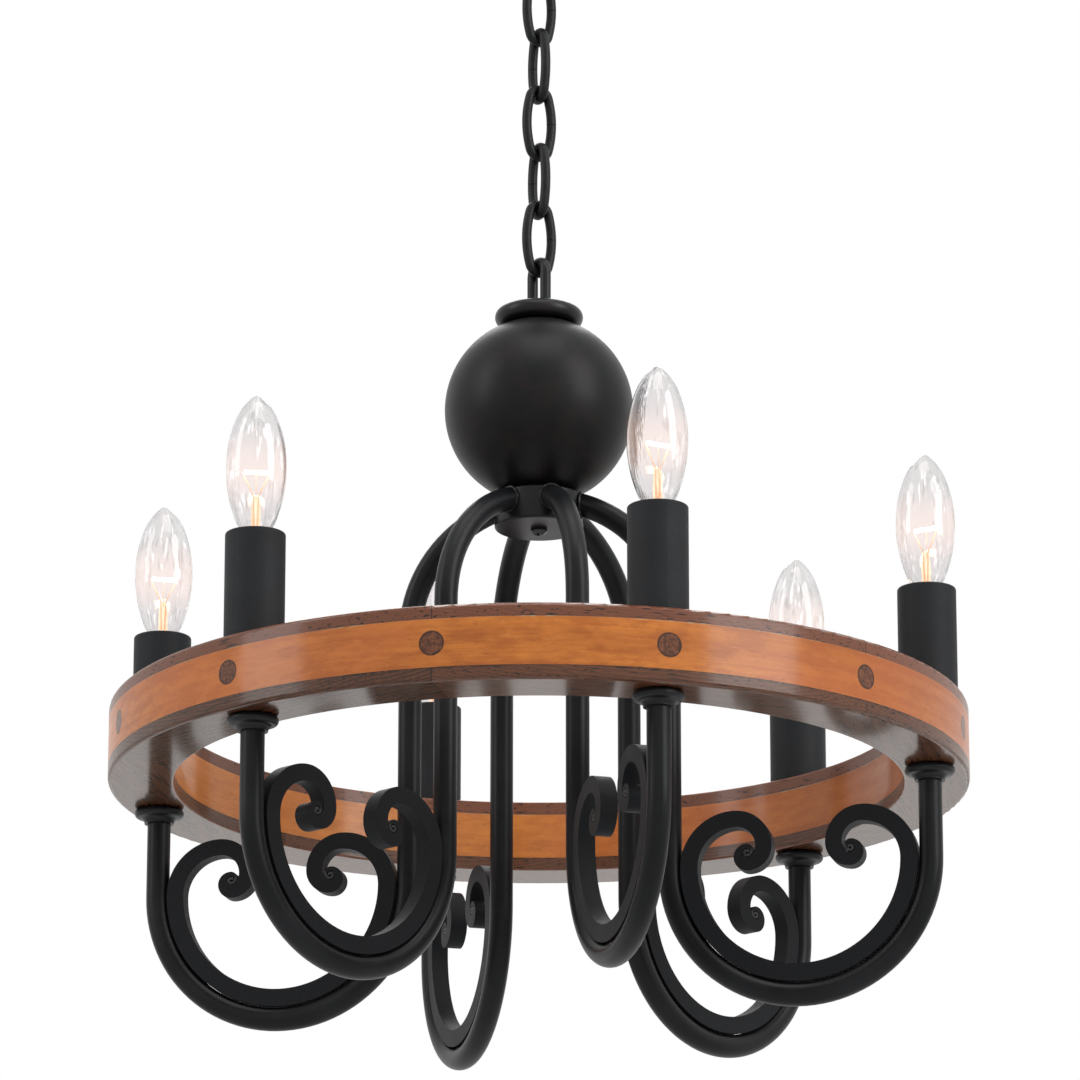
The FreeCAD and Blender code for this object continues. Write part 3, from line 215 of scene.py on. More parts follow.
def blotched(name, size, first, second, share=None, rough=None, depth=None, detail=3.0, squeeze=None,
             **constants):
    """A material that varies between two colours, and two roughnesses, in blotches of this size."""
    material, tree, shader = new_material(name)
    place = object_place(tree)
    blotch = noise(tree, scaled(tree, place, squeeze) if squeeze else place, size, detail)
    factor = stretched(tree, blotch, *share) if share else blotch
    feed(tree, shader, Base_Color=blend_colours(tree, factor, first, second), **constants)
    if rough:
        feed(tree, shader, Roughness=stretched(tree, blotch, *rough))
    if depth:
        feed(tree, shader, Normal=bump(tree, blotch, depth))
    return material, tree, shader


# --- Effects that several finishes share ----------------------------------------------------------

def make_paint_film_group():
    """Sprayed paint: slow blotches in colour and gloss, orange peel and fine grit."""
    group, given, result = new_group("paint_film", [
        ("Vector", "Vector", (0, 0, 0)),
        ("Colour", "Color", (0.02, 0.02, 0.02, 1)),
        ("Blotch Colour", "Color", (0.03, 0.03, 0.03, 1)),
        ("Blotch Scale", "Float", 30.0),
        ("Grit Scale", "Float", 2500.0),
        ("Grit", "Float", 0.5),
        ("Gloss", "Float", 0.45),
    ], [("Colour", "Color"), ("Roughness", "Float"), ("Height", "Float")])
    blotch = put(group, "TexNoise", {"Vector": given["Vector"], "Scale": given["Blotch Scale"],
                                     "Detail": 4.0, "Roughness": 0.55}).outputs["Fac"]
    grit = put(group, "TexNoise", {"Vector": given["Vector"], "Scale": given["Grit Scale"],
                                   "Detail": 2.0, "Roughness": 0.6}).outputs["Fac"]
    peel = noise(group, given["Vector"], 0.0016, 2.0)
    share = stretched(group, blotch, 0.42, 0.68)
    tone = blend_colours(group, share, given["Colour"], given["Blotch Colour"])
    speck = stretched(group, grit, 0.56, 0.74, 1.0, 1.9)
    speckled = put(group, "VectorMath", {0: tone, "Scale": speck}, operation="SCALE").outputs[0]
    group.links.new(blend_colours(group, given["Grit"], tone, speckled), result["Colour"])
    dulled = calc(group, "MULTIPLY_ADD", blotch, 0.16, given["Gloss"])
    group.links.new(calc(group, "SUBTRACT", dulled, 0.08), result["Roughness"])
    grit_height = calc(group, "MULTIPLY", grit, given["Grit"])
    group.links.new(calc(group, "MULTIPLY_ADD", peel, 0.5, grit_height), result["Height"])


def make_sector_group():
    """A place on the rim seen from its own sector: out, along and up, with the sector's number."""
    group, given, result = new_group("rim_sector", [
        ("Vector", "Vector", (0, 0, 0)), ("Sectors", "Float", 6.0), ("Start", "Float", 0.0),
    ], [("Local", "Vector"), ("Number", "Float"), ("Border", "Float"), ("Radius", "Float")])
    parts = axes(group, given["Vector"])
    angle = calc(group, "ARCTAN2", parts["Y"], parts["X"])
    width = calc(group, "DIVIDE", 2 * math.pi, given["Sectors"])
    share = calc(group, "DIVIDE", calc(group, "SUBTRACT", angle, given["Start"]), width)
    number = calc(group, "FLOOR", share)
    middle = calc(group, "MULTIPLY_ADD", calc(group, "ADD", number, 0.5), width, given["Start"])
    turned = put(group, "VectorRotate", {"Vector": given["Vector"], "Angle": middle},
                 rotation_type="Z_AXIS", invert=True).outputs[0]
    radius = length(group, scaled(group, given["Vector"], (1, 1, 0)))
    within = calc(group, "FRACT", share)
    near = calc(group, "MINIMUM", within, calc(group, "SUBTRACT", 1.0, within))
    border = calc(group, "MULTIPLY", calc(group, "MULTIPLY", near, width), radius)
    around = calc(group, "MODULO", calc(group, "ADD", number, given["Sectors"]), given["Sectors"])
    group.links.new(turned, result["Local"])
    group.links.new(around, result["Number"])
    group.links.new(border, result["Border"])
    group.links.new(radius, result["Radius"])


def make_straight_grain_group():
    """Straight-grained wood: growth lines, fibres and pores that run along local Y."""
    group, given, result = new_group("straight_grain", [
        ("Vector", "Vector", (0, 0, 0)), ("Board", "Float", 0.0), ("Line Spacing", "Float", 0.002),
        ("Tilt", "Float", 0.6),
    ], [("Lines", "Float"), ("Fibres", "Float"), ("Pores", "Float"), ("Height", "Float")])
    shift = combined(group, *(calc(group, "MULTIPLY", given["Board"], step) for step in (0.37, 1.91, 0.73)))
    place = put(group, "VectorMath", {0: given["Vector"], 1: shift}, operation="ADD").outputs[0]
    warp = noise(group, scaled(group, place, (1.0, 0.12, 1.0)), 0.02, 2.0)
    lean = calc(group, "MULTIPLY_ADD", calc(group, "SINE", calc(group, "MULTIPLY", given["Board"], 2.3)),
                0.18, given["Tilt"])
    parts = axes(group, given["Vector"])
    across = calc(group, "MULTIPLY", parts["X"], calc(group, "SINE", lean))
    depth = calc(group, "MULTIPLY_ADD", parts["Z"], calc(group, "COSINE", lean), across)
    drift = calc(group, "MULTIPLY_ADD", parts["Y"], 0.012, depth)
    steps = calc(group, "DIVIDE", drift, given["Line Spacing"])
    phase = calc(group, "MULTIPLY_ADD", warp, 4.5, steps)
    line = stretched(group, calc(group, "FRACT", phase), 0.35, 0.95)
    fibres = noise(group, scaled(group, place, (1.0, 0.035, 1.0)), 0.0006, 4.0, 0.65)
    pores = stretched(group, noise(group, scaled(group, place, (1.0, 0.07, 1.0)), 0.0011, 1.0), 0.62, 0.7)
    height = calc(group, "SUBTRACT", calc(group, "MULTIPLY_ADD", line, 0.25, fibres),
                  calc(group, "MULTIPLY", pores, 0.6))
    group.links.new(line, result["Lines"])
    group.links.new(fibres, result["Fibres"])
    group.links.new(pores, result["Pores"])
    group.links.new(height, result["Height"])


def make_glue_line_group():
    """A thin ragged line of squeezed glue at two levels."""
    group, given, result = new_group("glue_line", [
        ("Vector", "Vector", (0, 0, 0)), ("Lower", "Float", 0.0), ("Upper", "Float", 0.0),
        ("Width", "Float", 0.0004),
    ], [("Mask", "Float")])
    height = axes(group, given["Vector"])["Z"]
    ragged = noise(group, given["Vector"], 0.003, 3.0)
    width = calc(group, "MULTIPLY", given["Width"], stretched(group, ragged, 0.35, 0.65, 0.2, 2.0))
    near = calc(group, "DIVIDE", nearest(group, height, given["Lower"], given["Upper"]), width)
    patches = stretched(group, noise(group, given["Vector"], 0.03, 2.0), 0.42, 0.6, 0.15, 1.0)
    mask = calc(group, "MULTIPLY", stretched(group, near, 0.5, 1.3, 1.0, 0.0), patches)
    group.links.new(mask, result["Mask"])


def make_edge_highlight_group():
    """Painted highlight along the edges of a flat ring, in patches: near its outer and inner radius, at its
    top and bottom level.
    """
    group, given, result = new_group("edge_highlight", [
        ("Vector", "Vector", (0, 0, 0)), ("Radius", "Float", 0.0), ("Inner", "Float", 0.2),
        ("Outer", "Float", 0.23), ("Lower", "Float", 0.0), ("Upper", "Float", 0.0),
        ("Width", "Float", 0.001),
    ], [("Mask", "Float")])
    height = axes(group, given["Vector"])["Z"]
    across = nearest(group, given["Radius"], given["Inner"], given["Outer"])
    level = nearest(group, height, given["Lower"], given["Upper"])
    away = calc(group, "DIVIDE", calc(group, "ADD", across, level), given["Width"])
    # The painted highlight comes and goes in patches along the edges.
    rubbed = stretched(group, noise(group, given["Vector"], 0.006, 3.0), 0.35, 0.65, 0.35, 1.0)
    mask = calc(group, "MULTIPLY", stretched(group, away, 0.2, 1.0, 1.0, 0.0), rubbed)
    group.links.new(mask, result["Mask"])


# --- Settings that a user may change ---------------------------------------------------------------

def colour_setting(name, description, default):
    """A colour in scene linear values."""
    return FloatVectorProperty(name=name, description=description, subtype="COLOR", size=3,
                               default=default, min=0.0, max=1.0)


def length_setting(name, description, default, low, high):
    """A length, given in millimetres."""
    return FloatProperty(name=name, description=description, default=default * MM, min=low * MM,
                         max=high * MM, unit="LENGTH")


def power_setting(name, description, default):
    """A lamp's power in watts."""
    return FloatProperty(name=name, description=description, default=default, min=0.0, max=500.0,
                         unit="POWER")


class ChandelierColours(bpy.types.PropertyGroup):
    """Colours of the finishes."""

    paint: colour_setting("Paint", "Black paint of the steelwork", (0.0052, 0.0056, 0.0063))
    paint_light: colour_setting("Paint, lighter", "Lighter blotches in the paint", (0.0105, 0.011, 0.0122))
    scroll: colour_setting("Scrolls", "Sandier black of the scrolls", (0.011, 0.0117, 0.013))
    # Painted reflection: on the ball, these red-brown blotches stand in for the bulbs' light reflected in
    # its paint.
    patina_and_glow_reflection: colour_setting("Patina", "Red-brown patina on the ball", (0.0095, 0.0074, 0.0069))
    sleeve: colour_setting("Sleeve", "Sanded charcoal paint of the candle sleeves", (0.0115, 0.0125, 0.014))
    zinc: colour_setting("Zinc", "Zinc-plated steel of nuts and nipples", (0.52, 0.53, 0.55))
    brass: colour_setting("Brass", "Screw shells of the bulbs", (0.78, 0.57, 0.27))
    light_wood: colour_setting("Light wood", "Middle layer of the rim", (0.58, 0.19, 0.03))
    light_wood_streak: colour_setting("Light wood, streak", "Darker streaks of it", (0.37, 0.1, 0.014))
    dark_wood: colour_setting("Dark wood", "Outer layers of the rim", (0.118, 0.044, 0.021))
    dark_wood_line: colour_setting("Dark wood, line", "Growth lines of dark wood", (0.022, 0.01, 0.0065))
    # Painted highlight: paler wood along the outer layers' edges, standing in for light caught on their
    # rounded edges.
    edge_highlight: colour_setting("Worn edge", "Paler wood where the outer layers' edges are rubbed",
                              (0.36, 0.145, 0.095))
    plug_wood: colour_setting("Plug wood", "Round plugs in the rim", (0.15, 0.05, 0.022))
    glue: colour_setting("Glue", "Thin line between the layers", (0.42, 0.3, 0.2))
    resin: colour_setting("Resin", "Moulded lamp sockets", (0.02, 0.016, 0.013))
    glow: colour_setting("Glow", "Light of the filaments", (1.0, 0.62, 0.34))
    weld: colour_setting("Weld", "Scraped grey patches on the weld beads", (0.05, 0.052, 0.056))
    glass: colour_setting("Glass", "Tint of the bulbs' glass", (0.87, 0.855, 0.856))
    # Painted reflection: grey at the bulbs' outline, standing in for dark surroundings mirrored in the
    # glass.
    edge_reflection_grey: colour_setting("Glass, edge", "Tint of the glass seen along its wall", (0.5, 0.5, 0.51))


class ChandelierSizes(bpy.types.PropertyGroup):
    """Sizes of the pieces that are finer than the CAD model."""

    bead_radius: length_setting("Weld bead", "Radius of the beads round the arms' roots", 1.1, 0.3, 2.0)
    thread_pitch: length_setting("Thread pitch", "Bulb thread, from crest to crest", 2.54, 1.0, 5.0)
    thread_depth: length_setting("Thread depth", "Bulb thread, crest to root", 0.55, 0.1, 1.0)
    coil_turns: IntProperty(name="Coil turns", description="Turns of each filament", default=20, min=4,
                            max=60)
    coil_radius: length_setting("Coil radius", "Coiled filament, middle of its wire", 0.85, 0.1, 2.0)
    coil_wire: length_setting("Coil wire", "Radius of the filament's wire", 0.3, 0.02, 0.5)
    lead_radius: length_setting("Lead wire", "Radius of the wires that carry a filament", 0.3, 0.05, 0.6)


class ChandelierStage(bpy.types.PropertyGroup):
    """Floor, lamps and background."""

    floor_level: FloatProperty(name="Floor", description="Level of the floor", default=-2.1,
                               min=-5.0, max=-0.7, unit="LENGTH")
    ambient: FloatProperty(name="Ambient", description="Strength of the background's light on the part",
                           default=0.55, min=0.0, max=2.0)
    side_power: power_setting("Side lamps", "Power of the two upright soft boxes", 44.0)
    top_power: power_setting("Top lamp", "Power of the soft box above", 22.0)


# --- Finishes -------------------------------------------------------------------------------------

def finish_nodes(material, *names):
    """Gives CAD nodes their finish."""
    for name in names:
        mesh = nodes[name].data
        mesh.materials.clear()
        mesh.materials.append(material)


def painted(name, colour, blotch_colour, blotch_size, grit_size, grit, gloss, depth, specular):
    """Black paint on steel, finer or coarser. The three sizes are in millimetres."""
    material, tree, shader = new_material(name)
    film = use_group(tree, "paint_film", {
        "Vector": object_place(tree), "Colour": colour, "Blotch Colour": blotch_colour,
        "Blotch Scale": 1 / (blotch_size * MM), "Grit Scale": 1 / (grit_size * MM), "Grit": grit,
        "Gloss": gloss,
    })
    feed(tree, shader, Base_Color=film["Colour"], Roughness=film["Roughness"], Specular_IOR_Level=specular,
         Normal=bump(tree, film["Height"], depth * MM))
    return material


def numbered(stem, count):
    """The names of a repeated node."""
    return ["%s_%d" % (stem, number) for number in range(1, count + 1)]


class CHANDELIER_OT_steelwork(bpy.types.Operator):
    """Black paint on the ceiling plate, chain, ball, hub, arms, scrolls, collars and sleeves"""

    bl_idname = "chandelier.steelwork"
    bl_label = "Steelwork"

    def execute(self, context):
        colours = context.scene.chandelier_colours
        black, lighter = colours.paint, colours.paint_light
        links = [name for name in nodes if name.startswith("chain_link_")]
        # Finish, colour, its blotches, their size, grit size, grit, gloss, depth, specular level, nodes
        for *finish, names in (
            ("black_steel", black, lighter, 20, 0.35, 0.25, 0.36, 0.05, 0.22,
             ("canopy", "canopy_loop", "canopy_collar", "ball_loop", "hub", "hub_cover", "arm_collars")),
            ("black_collar", black, colours.patina_and_glow_reflection, 18, 0.35, 0.2, 0.34, 0.04, 0.22, ("ball_collar",)),
            ("black_tube", black, lighter, 50, 0.3, 0.15, 0.36, 0.03, 0.16, numbered("arm", CANDLES)),
            ("black_scroll", colours.scroll, lighter, 30, 0.5, 0.8, 0.5, 0.12, 0.1,
             numbered("scroll", CANDLES)),
            # Painted reflection: the red-brown blotches on the ball stand in for the bulbs' light reflected
            # in it.
            ("black_ball", black, colours.patina_and_glow_reflection, 11, 0.25, 0.1, 0.4, 0.02, 0.16, ("ball",)),
            ("black_sleeve", colours.sleeve, lighter, 30, 0.7, 0.9, 0.6, 0.14, 0.2, ("candle_sleeves",)),
            ("black_chain", black, lighter, 8, 0.45, 0.4, 0.42, 0.07, 0.2, links),
            ("black_screw", black, lighter, 4, 0.3, 0.1, 0.2, 0.01, 0.4, ("cover_screw",)),
        ):
            finish_nodes(painted(*finish), *names)
        return {"FINISHED"}


class CHANDELIER_OT_plated_steel(bpy.types.Operator):
    """Zinc plating on the crossbar, nipples, rod and nuts"""

    bl_idname = "chandelier.plated_steel"
    bl_label = "Plated steel"

    def execute(self, context):
        colours = context.scene.chandelier_colours
        material, tree, shader = new_material("zinc_steel")
        place = object_place(tree)
        spangle = put(tree, "TexVoronoi", {"Vector": place, "Scale": 1 / (1.8 * MM)}).outputs["Color"]
        tint = put(tree, "SeparateColor", {0: spangle}).outputs[0]
        scratches = noise(tree, scaled(tree, place, (1.0, 1.0, 0.06)), 0.5 * MM, 3.0)
        feed(tree, shader, Metallic=1.0,
             Base_Color=blend_colours(tree, tint, shade(colours.zinc, 0.62), colours.zinc),
             Roughness=stretched(tree, scratches, 0.3, 0.7, 0.28, 0.48),
             Normal=bump(tree, scratches, 0.02 * MM))
        finish_nodes(material, "crossbar", "canopy_nipple", "canopy_locknut", "centre_rod", "arm_nipples",
                     "lock_nuts")
        return {"FINISHED"}


def lacquer(tree, shader, height, depth, sheen_break):
    """Clear lacquer over stained wood: thick and glossy on the flat faces, rubbed thin on the upright."""
    normal = put(tree, "TexCoord", {}).outputs["Normal"]
    flatness = calc(tree, "ABSOLUTE", axes(tree, normal)["Z"])
    feed(tree, shader, Roughness=stretched(tree, sheen_break, 0.2, 0.8, 0.38, 0.55), Specular_IOR_Level=0.12,
         Coat_Weight=stretched(tree, flatness, 0.8, 0.98, 0.45, 0.88), Coat_Roughness=0.14, Coat_IOR=1.5,
         Coat_Tint=(1.0, 0.95, 0.87), Normal=bump(tree, height, depth))


def plug_place(tree, place):
    """The sector of the nearest plug, the place seen from that plug, and how far it is off its axis."""
    sector = use_group(tree, "rim_sector", {"Vector": place, "Sectors": float(PLUGS),
                                            "Start": -math.pi / PLUGS})
    centred = from_point(tree, sector["Local"], (0, 0, PLUG_LEVEL))
    return sector, centred, length(tree, scaled(tree, centred, (0, 1, 1)))


def light_wood_material(colours):
    """Middle layer: grain that follows the rim round, with plugs set in dark rings of glue."""
    material, tree, shader = new_material("light_wood")
    place = object_place(tree)
    parts = axes(tree, place)
    angle = calc(tree, "ARCTAN2", parts["Y"], parts["X"])
    radius = length(tree, scaled(tree, place, (1, 1, 0)))

    def round_noise(reach, height, detail, roughness):
        """Noise whose streaks are about this long round the rim and this high."""
        turns = rim_high.x / reach
        vector = combined(tree, calc(tree, "MULTIPLY", calc(tree, "COSINE", angle), turns),
                          calc(tree, "MULTIPLY", calc(tree, "SINE", angle), turns),
                          calc(tree, "DIVIDE", parts["Z"], height))
        inputs = {"Vector": vector, "W": calc(tree, "DIVIDE", radius, height), "Scale": 1.0,
                  "Detail": detail, "Roughness": roughness}
        return put(tree, "TexNoise", inputs, noise_dimensions="4D").outputs["Fac"]

    bands = round_noise(0.16, 0.0065, 2.0, 0.5)
    mottle = round_noise(0.016, 0.0055, 3.0, 0.6)
    streaks = round_noise(0.045, 0.0015, 3.0, 0.6)
    fibres = round_noise(0.012, 0.0005, 2.0, 0.6)
    flecks = round_noise(0.0035, 0.0005, 1.0, 0.5)
    # Painted highlight: small pale streaks that stand in for the shimmer of the grain.
    painted_sheen = round_noise(0.006, 0.0009, 2.0, 0.6)
    pale, dark = colours.light_wood, colours.light_wood_streak
    share = calc(tree, "MULTIPLY_ADD", stretched(tree, bands, 0.35, 0.66), 0.5,
                 calc(tree, "MULTIPLY", stretched(tree, streaks, 0.4, 0.7), 0.3))
    share = calc(tree, "MULTIPLY_ADD", stretched(tree, mottle, 0.4, 0.64), 0.55, share)
    # Painted shade and painted light: the wood is darker and redder towards one side of the rim and paler
    # towards the other, following how the lamps fall on it.
    painted_shade_side = calc(tree, "COSINE", calc(tree, "SUBTRACT", angle, 0.3))
    painted_light_side = calc(tree, "COSINE", calc(tree, "SUBTRACT", angle, 2.6))
    off_axis = plug_place(tree, place)[-1]
    outside = stretched(tree, radius, rim_high.x - 6 * MM, rim_high.x - 4 * MM)
    ring = calc(tree, "MULTIPLY", stretched(tree, off_axis, 6.4 * MM, 6.9 * MM, 0.6, 0.0), outside)
    glue = use_group(tree, "glue_line", {"Vector": place, "Lower": middle_high.z, "Upper": middle_high.z,
                                         "Width": 0.25 * MM})["Mask"]
    wood = layered(
        tree, blend_colours(tree, share, pale, dark),
        (stretched(tree, noise(tree, place, 0.08, 2.0), 0.4, 0.65, 0.0, 0.45), shade(pale, 0.9, 0.75, 1.3)),
        # Painted shade on one side, painted light on the other
        (stretched(tree, painted_shade_side, 0.1, 0.95, 0.0, 0.6), shade(dark, 0.95, 1.0, 2.2)),
        (stretched(tree, painted_light_side, 0.4, 0.95, 0.0, 0.35), shade(pale, 1.15, 1.35, 2.2)),
        (stretched(tree, fibres, 0.5, 0.75, 0.0, 0.35), dark),
        # Painted highlight streaks
        (stretched(tree, painted_sheen, 0.6, 0.78, 0.0, 0.3), shade(pale, 1.1, 1.6, 4.0)),
        (stretched(tree, flecks, 0.64, 0.74, 0.0, 0.5), shade(dark, 0.45)),
        (ring, colours.dark_wood_line),
        (calc(tree, "MULTIPLY", glue, 0.65), colours.glue))
    feed(tree, shader, Base_Color=wood)
    lacquer(tree, shader, calc(tree, "MULTIPLY_ADD", streaks, 0.6, fibres), 0.05 * MM, bands)
    return material


def dark_wood_material(colours):
    """Outer layers: six boards a layer, straight-grained, with a fine joint between boards."""
    material, tree, shader = new_material("dark_wood")
    place = object_place(tree)
    sector = use_group(tree, "rim_sector", {"Vector": place, "Sectors": float(RIM_PIECES),
                                            "Start": math.pi / RIM_PIECES})
    upper = calc(tree, "GREATER_THAN", axes(tree, place)["Z"], PLUG_LEVEL)
    board = calc(tree, "MULTIPLY_ADD", upper, 7.0, sector["Number"])
    grain = use_group(tree, "straight_grain", {"Vector": sector["Local"], "Board": board,
                                               "Line Spacing": 1.7 * MM, "Tilt": 0.36})
    mid, line = colours.dark_wood, colours.dark_wood_line
    share = calc(tree, "MULTIPLY_ADD", grain["Lines"], 0.6,
                 calc(tree, "MULTIPLY", stretched(tree, grain["Fibres"], 0.35, 0.66), 0.6))
    board_tone = noise(tree, combined(tree, board), 0.7, 0.0)
    # Painted highlight along the rim's edges
    edge_highlight_mask = use_group(tree, "edge_highlight", {
        "Vector": place, "Radius": sector["Radius"], "Inner": rim_inner, "Outer": rim_high.x,
        "Lower": rim_low.z, "Upper": rim_high.z, "Width": 1.3 * MM})["Mask"]
    levels = {"Vector": place, "Lower": middle_low.z, "Upper": middle_high.z}
    seam = use_group(tree, "glue_line", {**levels, "Width": 0.75 * MM})["Mask"]
    glue = use_group(tree, "glue_line", {**levels, "Lower": middle_high.z, "Width": 0.2 * MM})["Mask"]
    wood = layered(
        tree, blend_colours(tree, share, mid, line),
        (stretched(tree, board_tone, 0.3, 0.7, 0.0, 0.4), shade(mid, 1.35)),
        (calc(tree, "MULTIPLY", upper, 0.45), shade(mid, 2.1, 1.9, 2.1)),
        (grain["Pores"], line),
        (stretched(tree, sector["Border"], 0.15 * MM, 0.4 * MM, 0.85, 0.0), (0.008, 0.005, 0.004)),
        # Painted highlight along the edges
        (calc(tree, "MULTIPLY", edge_highlight_mask, 0.5), colours.edge_highlight),
        (calc(tree, "MULTIPLY", seam, 0.85), (0.012, 0.007, 0.005)),
        (calc(tree, "MULTIPLY", glue, 0.65), colours.glue))
    feed(tree, shader, Base_Color=wood)
    lacquer(tree, shader, grain["Height"], 0.05 * MM, grain["Fibres"])
    return material


def plug_material(colours):
    """Plugs: mottled end grain, and a dark ragged ring of stain round the edge."""
    material, tree, shader = new_material("plug_wood")
    place = object_place(tree)
    sector, centred, off_axis = plug_place(tree, place)
    upright = put(tree, "VectorRotate", {"Vector": centred, "Angle": math.pi / 2},
                  rotation_type="X_AXIS").outputs[0]
    grain = use_group(tree, "straight_grain", {"Vector": upright, "Board": sector["Number"],
                                               "Line Spacing": 2.6 * MM, "Tilt": 0.2})
    mottle = stretched(tree, noise(tree, place, 2.2 * MM, 4.0, 0.6), 0.4, 0.62)
    share = calc(tree, "MULTIPLY_ADD", grain["Lines"], 0.2, calc(tree, "MULTIPLY", mottle, 0.75))
    wood = blend_colours(tree, share, shade(colours.plug_wood, 1.15), shade(colours.plug_wood, 0.3))
    ragged = calc(tree, "MULTIPLY_ADD", noise(tree, place, 1.8 * MM, 3.0), 2.6 * MM, off_axis)
    edge = stretched(tree, ragged, 6.7 * MM, 7.3 * MM, 0.0, 0.85)
    wood = blend_colours(tree, edge, wood, (0.014, 0.008, 0.006))
    feed(tree, shader, Base_Color=wood)
    lacquer(tree, shader, grain["Height"], 0.05 * MM, grain["Fibres"])
    return material


class CHANDELIER_OT_rim(bpy.types.Operator):
    """Lacquered light and dark wood on the rim and its plugs"""

    bl_idname = "chandelier.rim"
    bl_label = "Wooden rim"

    def execute(self, context):
        colours = context.scene.chandelier_colours
        finish_nodes(light_wood_material(colours), "ring_middle_layer")
        finish_nodes(dark_wood_material(colours), "ring_top_layer", "ring_bottom_layer")
        finish_nodes(plug_material(colours), "dowels")
        return {"FINISHED"}


class CHANDELIER_OT_sockets(bpy.types.Operator):
    """Moulded resin of the lamp sockets"""

    bl_idname = "chandelier.sockets"
    bl_label = "Lamp sockets"

    def execute(self, context):
        colours = context.scene.chandelier_colours
        material, tree, shader = blotched("socket_resin", 4 * MM, colours.resin, shade(colours.resin, 2.2),
                                          (0.4, 0.7), (0.3, 0.7, 0.3, 0.45), squeeze=(1.0, 1.0, 0.3))
        feed(tree, shader, Normal=bump(tree, noise(tree, object_place(tree), 0.6 * MM, 2.0), 0.02 * MM))
        finish_nodes(material, "sockets")
        return {"FINISHED"}


class CHANDELIER_OT_bulb_glass(bpy.types.Operator):
    """Clear glass of the bulbs, grey at its outline as a painted reflection, with painted highlight streaks,
    painted dark bands and a painted orange glow near the filament
    """

    bl_idname = "chandelier.bulb_glass"
    bl_label = "Bulb glass"

    def execute(self, context):
        colours = context.scene.chandelier_colours
        material, tree, shader = new_material("bulb_glass")
        place = object_place(tree)
        sector = use_group(tree, "rim_sector", {"Vector": place, "Sectors": float(CANDLES),
                                                "Start": -math.pi / CANDLES})
        centred = from_point(tree, sector["Local"], (CANDLE_REACH, 0, mount_high.z))
        parts = axes(tree, centred)
        around = calc(tree, "ARCTAN2", parts["Y"], parts["X"])
        draw = combined(tree, calc(tree, "DIVIDE", around, 0.11), calc(tree, "DIVIDE", parts["Z"], 11 * MM),
                        calc(tree, "MULTIPLY", sector["Number"], 3.7))
        ridges = noise(tree, draw, 1.0, 1.0)
        patches = stretched(tree, noise(tree, scaled(tree, draw, (0.12, 0.35, 1.0)), 1.0, 1.0), 0.5, 0.62)
        # Painted highlights and painted reflections: white streaks glow through the emission, and dark bands
        # darken the tint, along the glass's ridges.
        bright = calc(tree, "MULTIPLY", stretched(tree, ridges, 0.58, 0.66), patches)
        painted_dark_bands = calc(tree, "MULTIPLY", stretched(tree, ridges, 0.34, 0.42, 0.55, 0.0), patches)
        # Painted reflection: the glass turns grey where it is seen at a slant, standing in for dark
        # surroundings mirrored in it.
        facing = put(tree, "LayerWeight", {"Blend": 0.35}).outputs["Facing"]
        tint = blend_colours(tree, stretched(tree, facing, 0.3, 0.85), colours.glass,
                             colours.edge_reflection_grey)
        tint = blend_colours(tree, painted_dark_bands, tint, shade(colours.glass, 0.7))
        # Painted glow: the glass near the filament gives off an orange light of its own.
        glass_glow_share = stretched(tree, length(tree, centred), 15 * MM, 25 * MM, 1.0, 0.0)
        painted_glass_glow = blend_colours(tree, glass_glow_share, (0, 0, 0), (0.28, 0.145, 0.09))
        feed(tree, shader, Base_Color=tint, Transmission_Weight=1.0, Roughness=0.0, IOR=1.48,
             Emission_Color=blend_colours(tree, bright, painted_glass_glow, (1, 1, 1)), Emission_Strength=0.2,
             Normal=bump(tree, ridges, 0.1 * MM, 0.6))
        finish_nodes(material, *numbered("bulb_glass", CANDLES))
        return {"FINISHED"}


# --- Fine pieces ------------------------------------------------------------------------------------

def pick(*pieces):
    """Selects these pieces alone, and makes the first one active."""
    bpy.ops.object.select_all(action="DESELECT")
    for piece in pieces:
        piece.select_set(True)
    bpy.context.view_layer.objects.active = pieces[0] if pieces else None


def add_shape(name, operator, **settings):
    """Adds a primitive with nothing else selected."""
    pick()
    operator(**settings)
    piece = bpy.context.object
    piece.name = name
    piece.data.name = name
    return piece


def apply_modifier(piece, kind, **settings):
    """Adds a modifier to the active piece and applies it."""
    modifier = piece.modifiers.new(kind.lower(), kind)
    for setting, choice in settings.items():
        setattr(modifier, setting, choice)
    bpy.context.view_layer.objects.active = piece
    bpy.ops.object.modifier_apply(modifier=modifier.name)


def edit(piece, *steps):
    """Runs edit-mode steps on the whole piece."""
    bpy.context.view_layer.objects.active = piece
    bpy.ops.object.mode_set(mode="EDIT")
    bpy.ops.mesh.select_all(action="SELECT")
    for step in steps:
        step()
    bpy.ops.object.mode_set(mode="OBJECT")


def settle(piece):
    """Puts the piece's place, turn and scale into its mesh."""
    pick(piece)
    bpy.ops.object.transform_apply(location=True, rotation=True, scale=True)


def joined(name, pieces):
    """Several pieces as one."""
    pick(*pieces)
    bpy.ops.object.join()
    pieces[0].name = name
    pieces[0].data.name = name
    return pieces[0]


def smooth(piece, angle=math.radians(40)):
    """Smooth shading, with the creases kept."""
    pick(piece)
    bpy.ops.object.shade_smooth_by_angle(angle=angle)


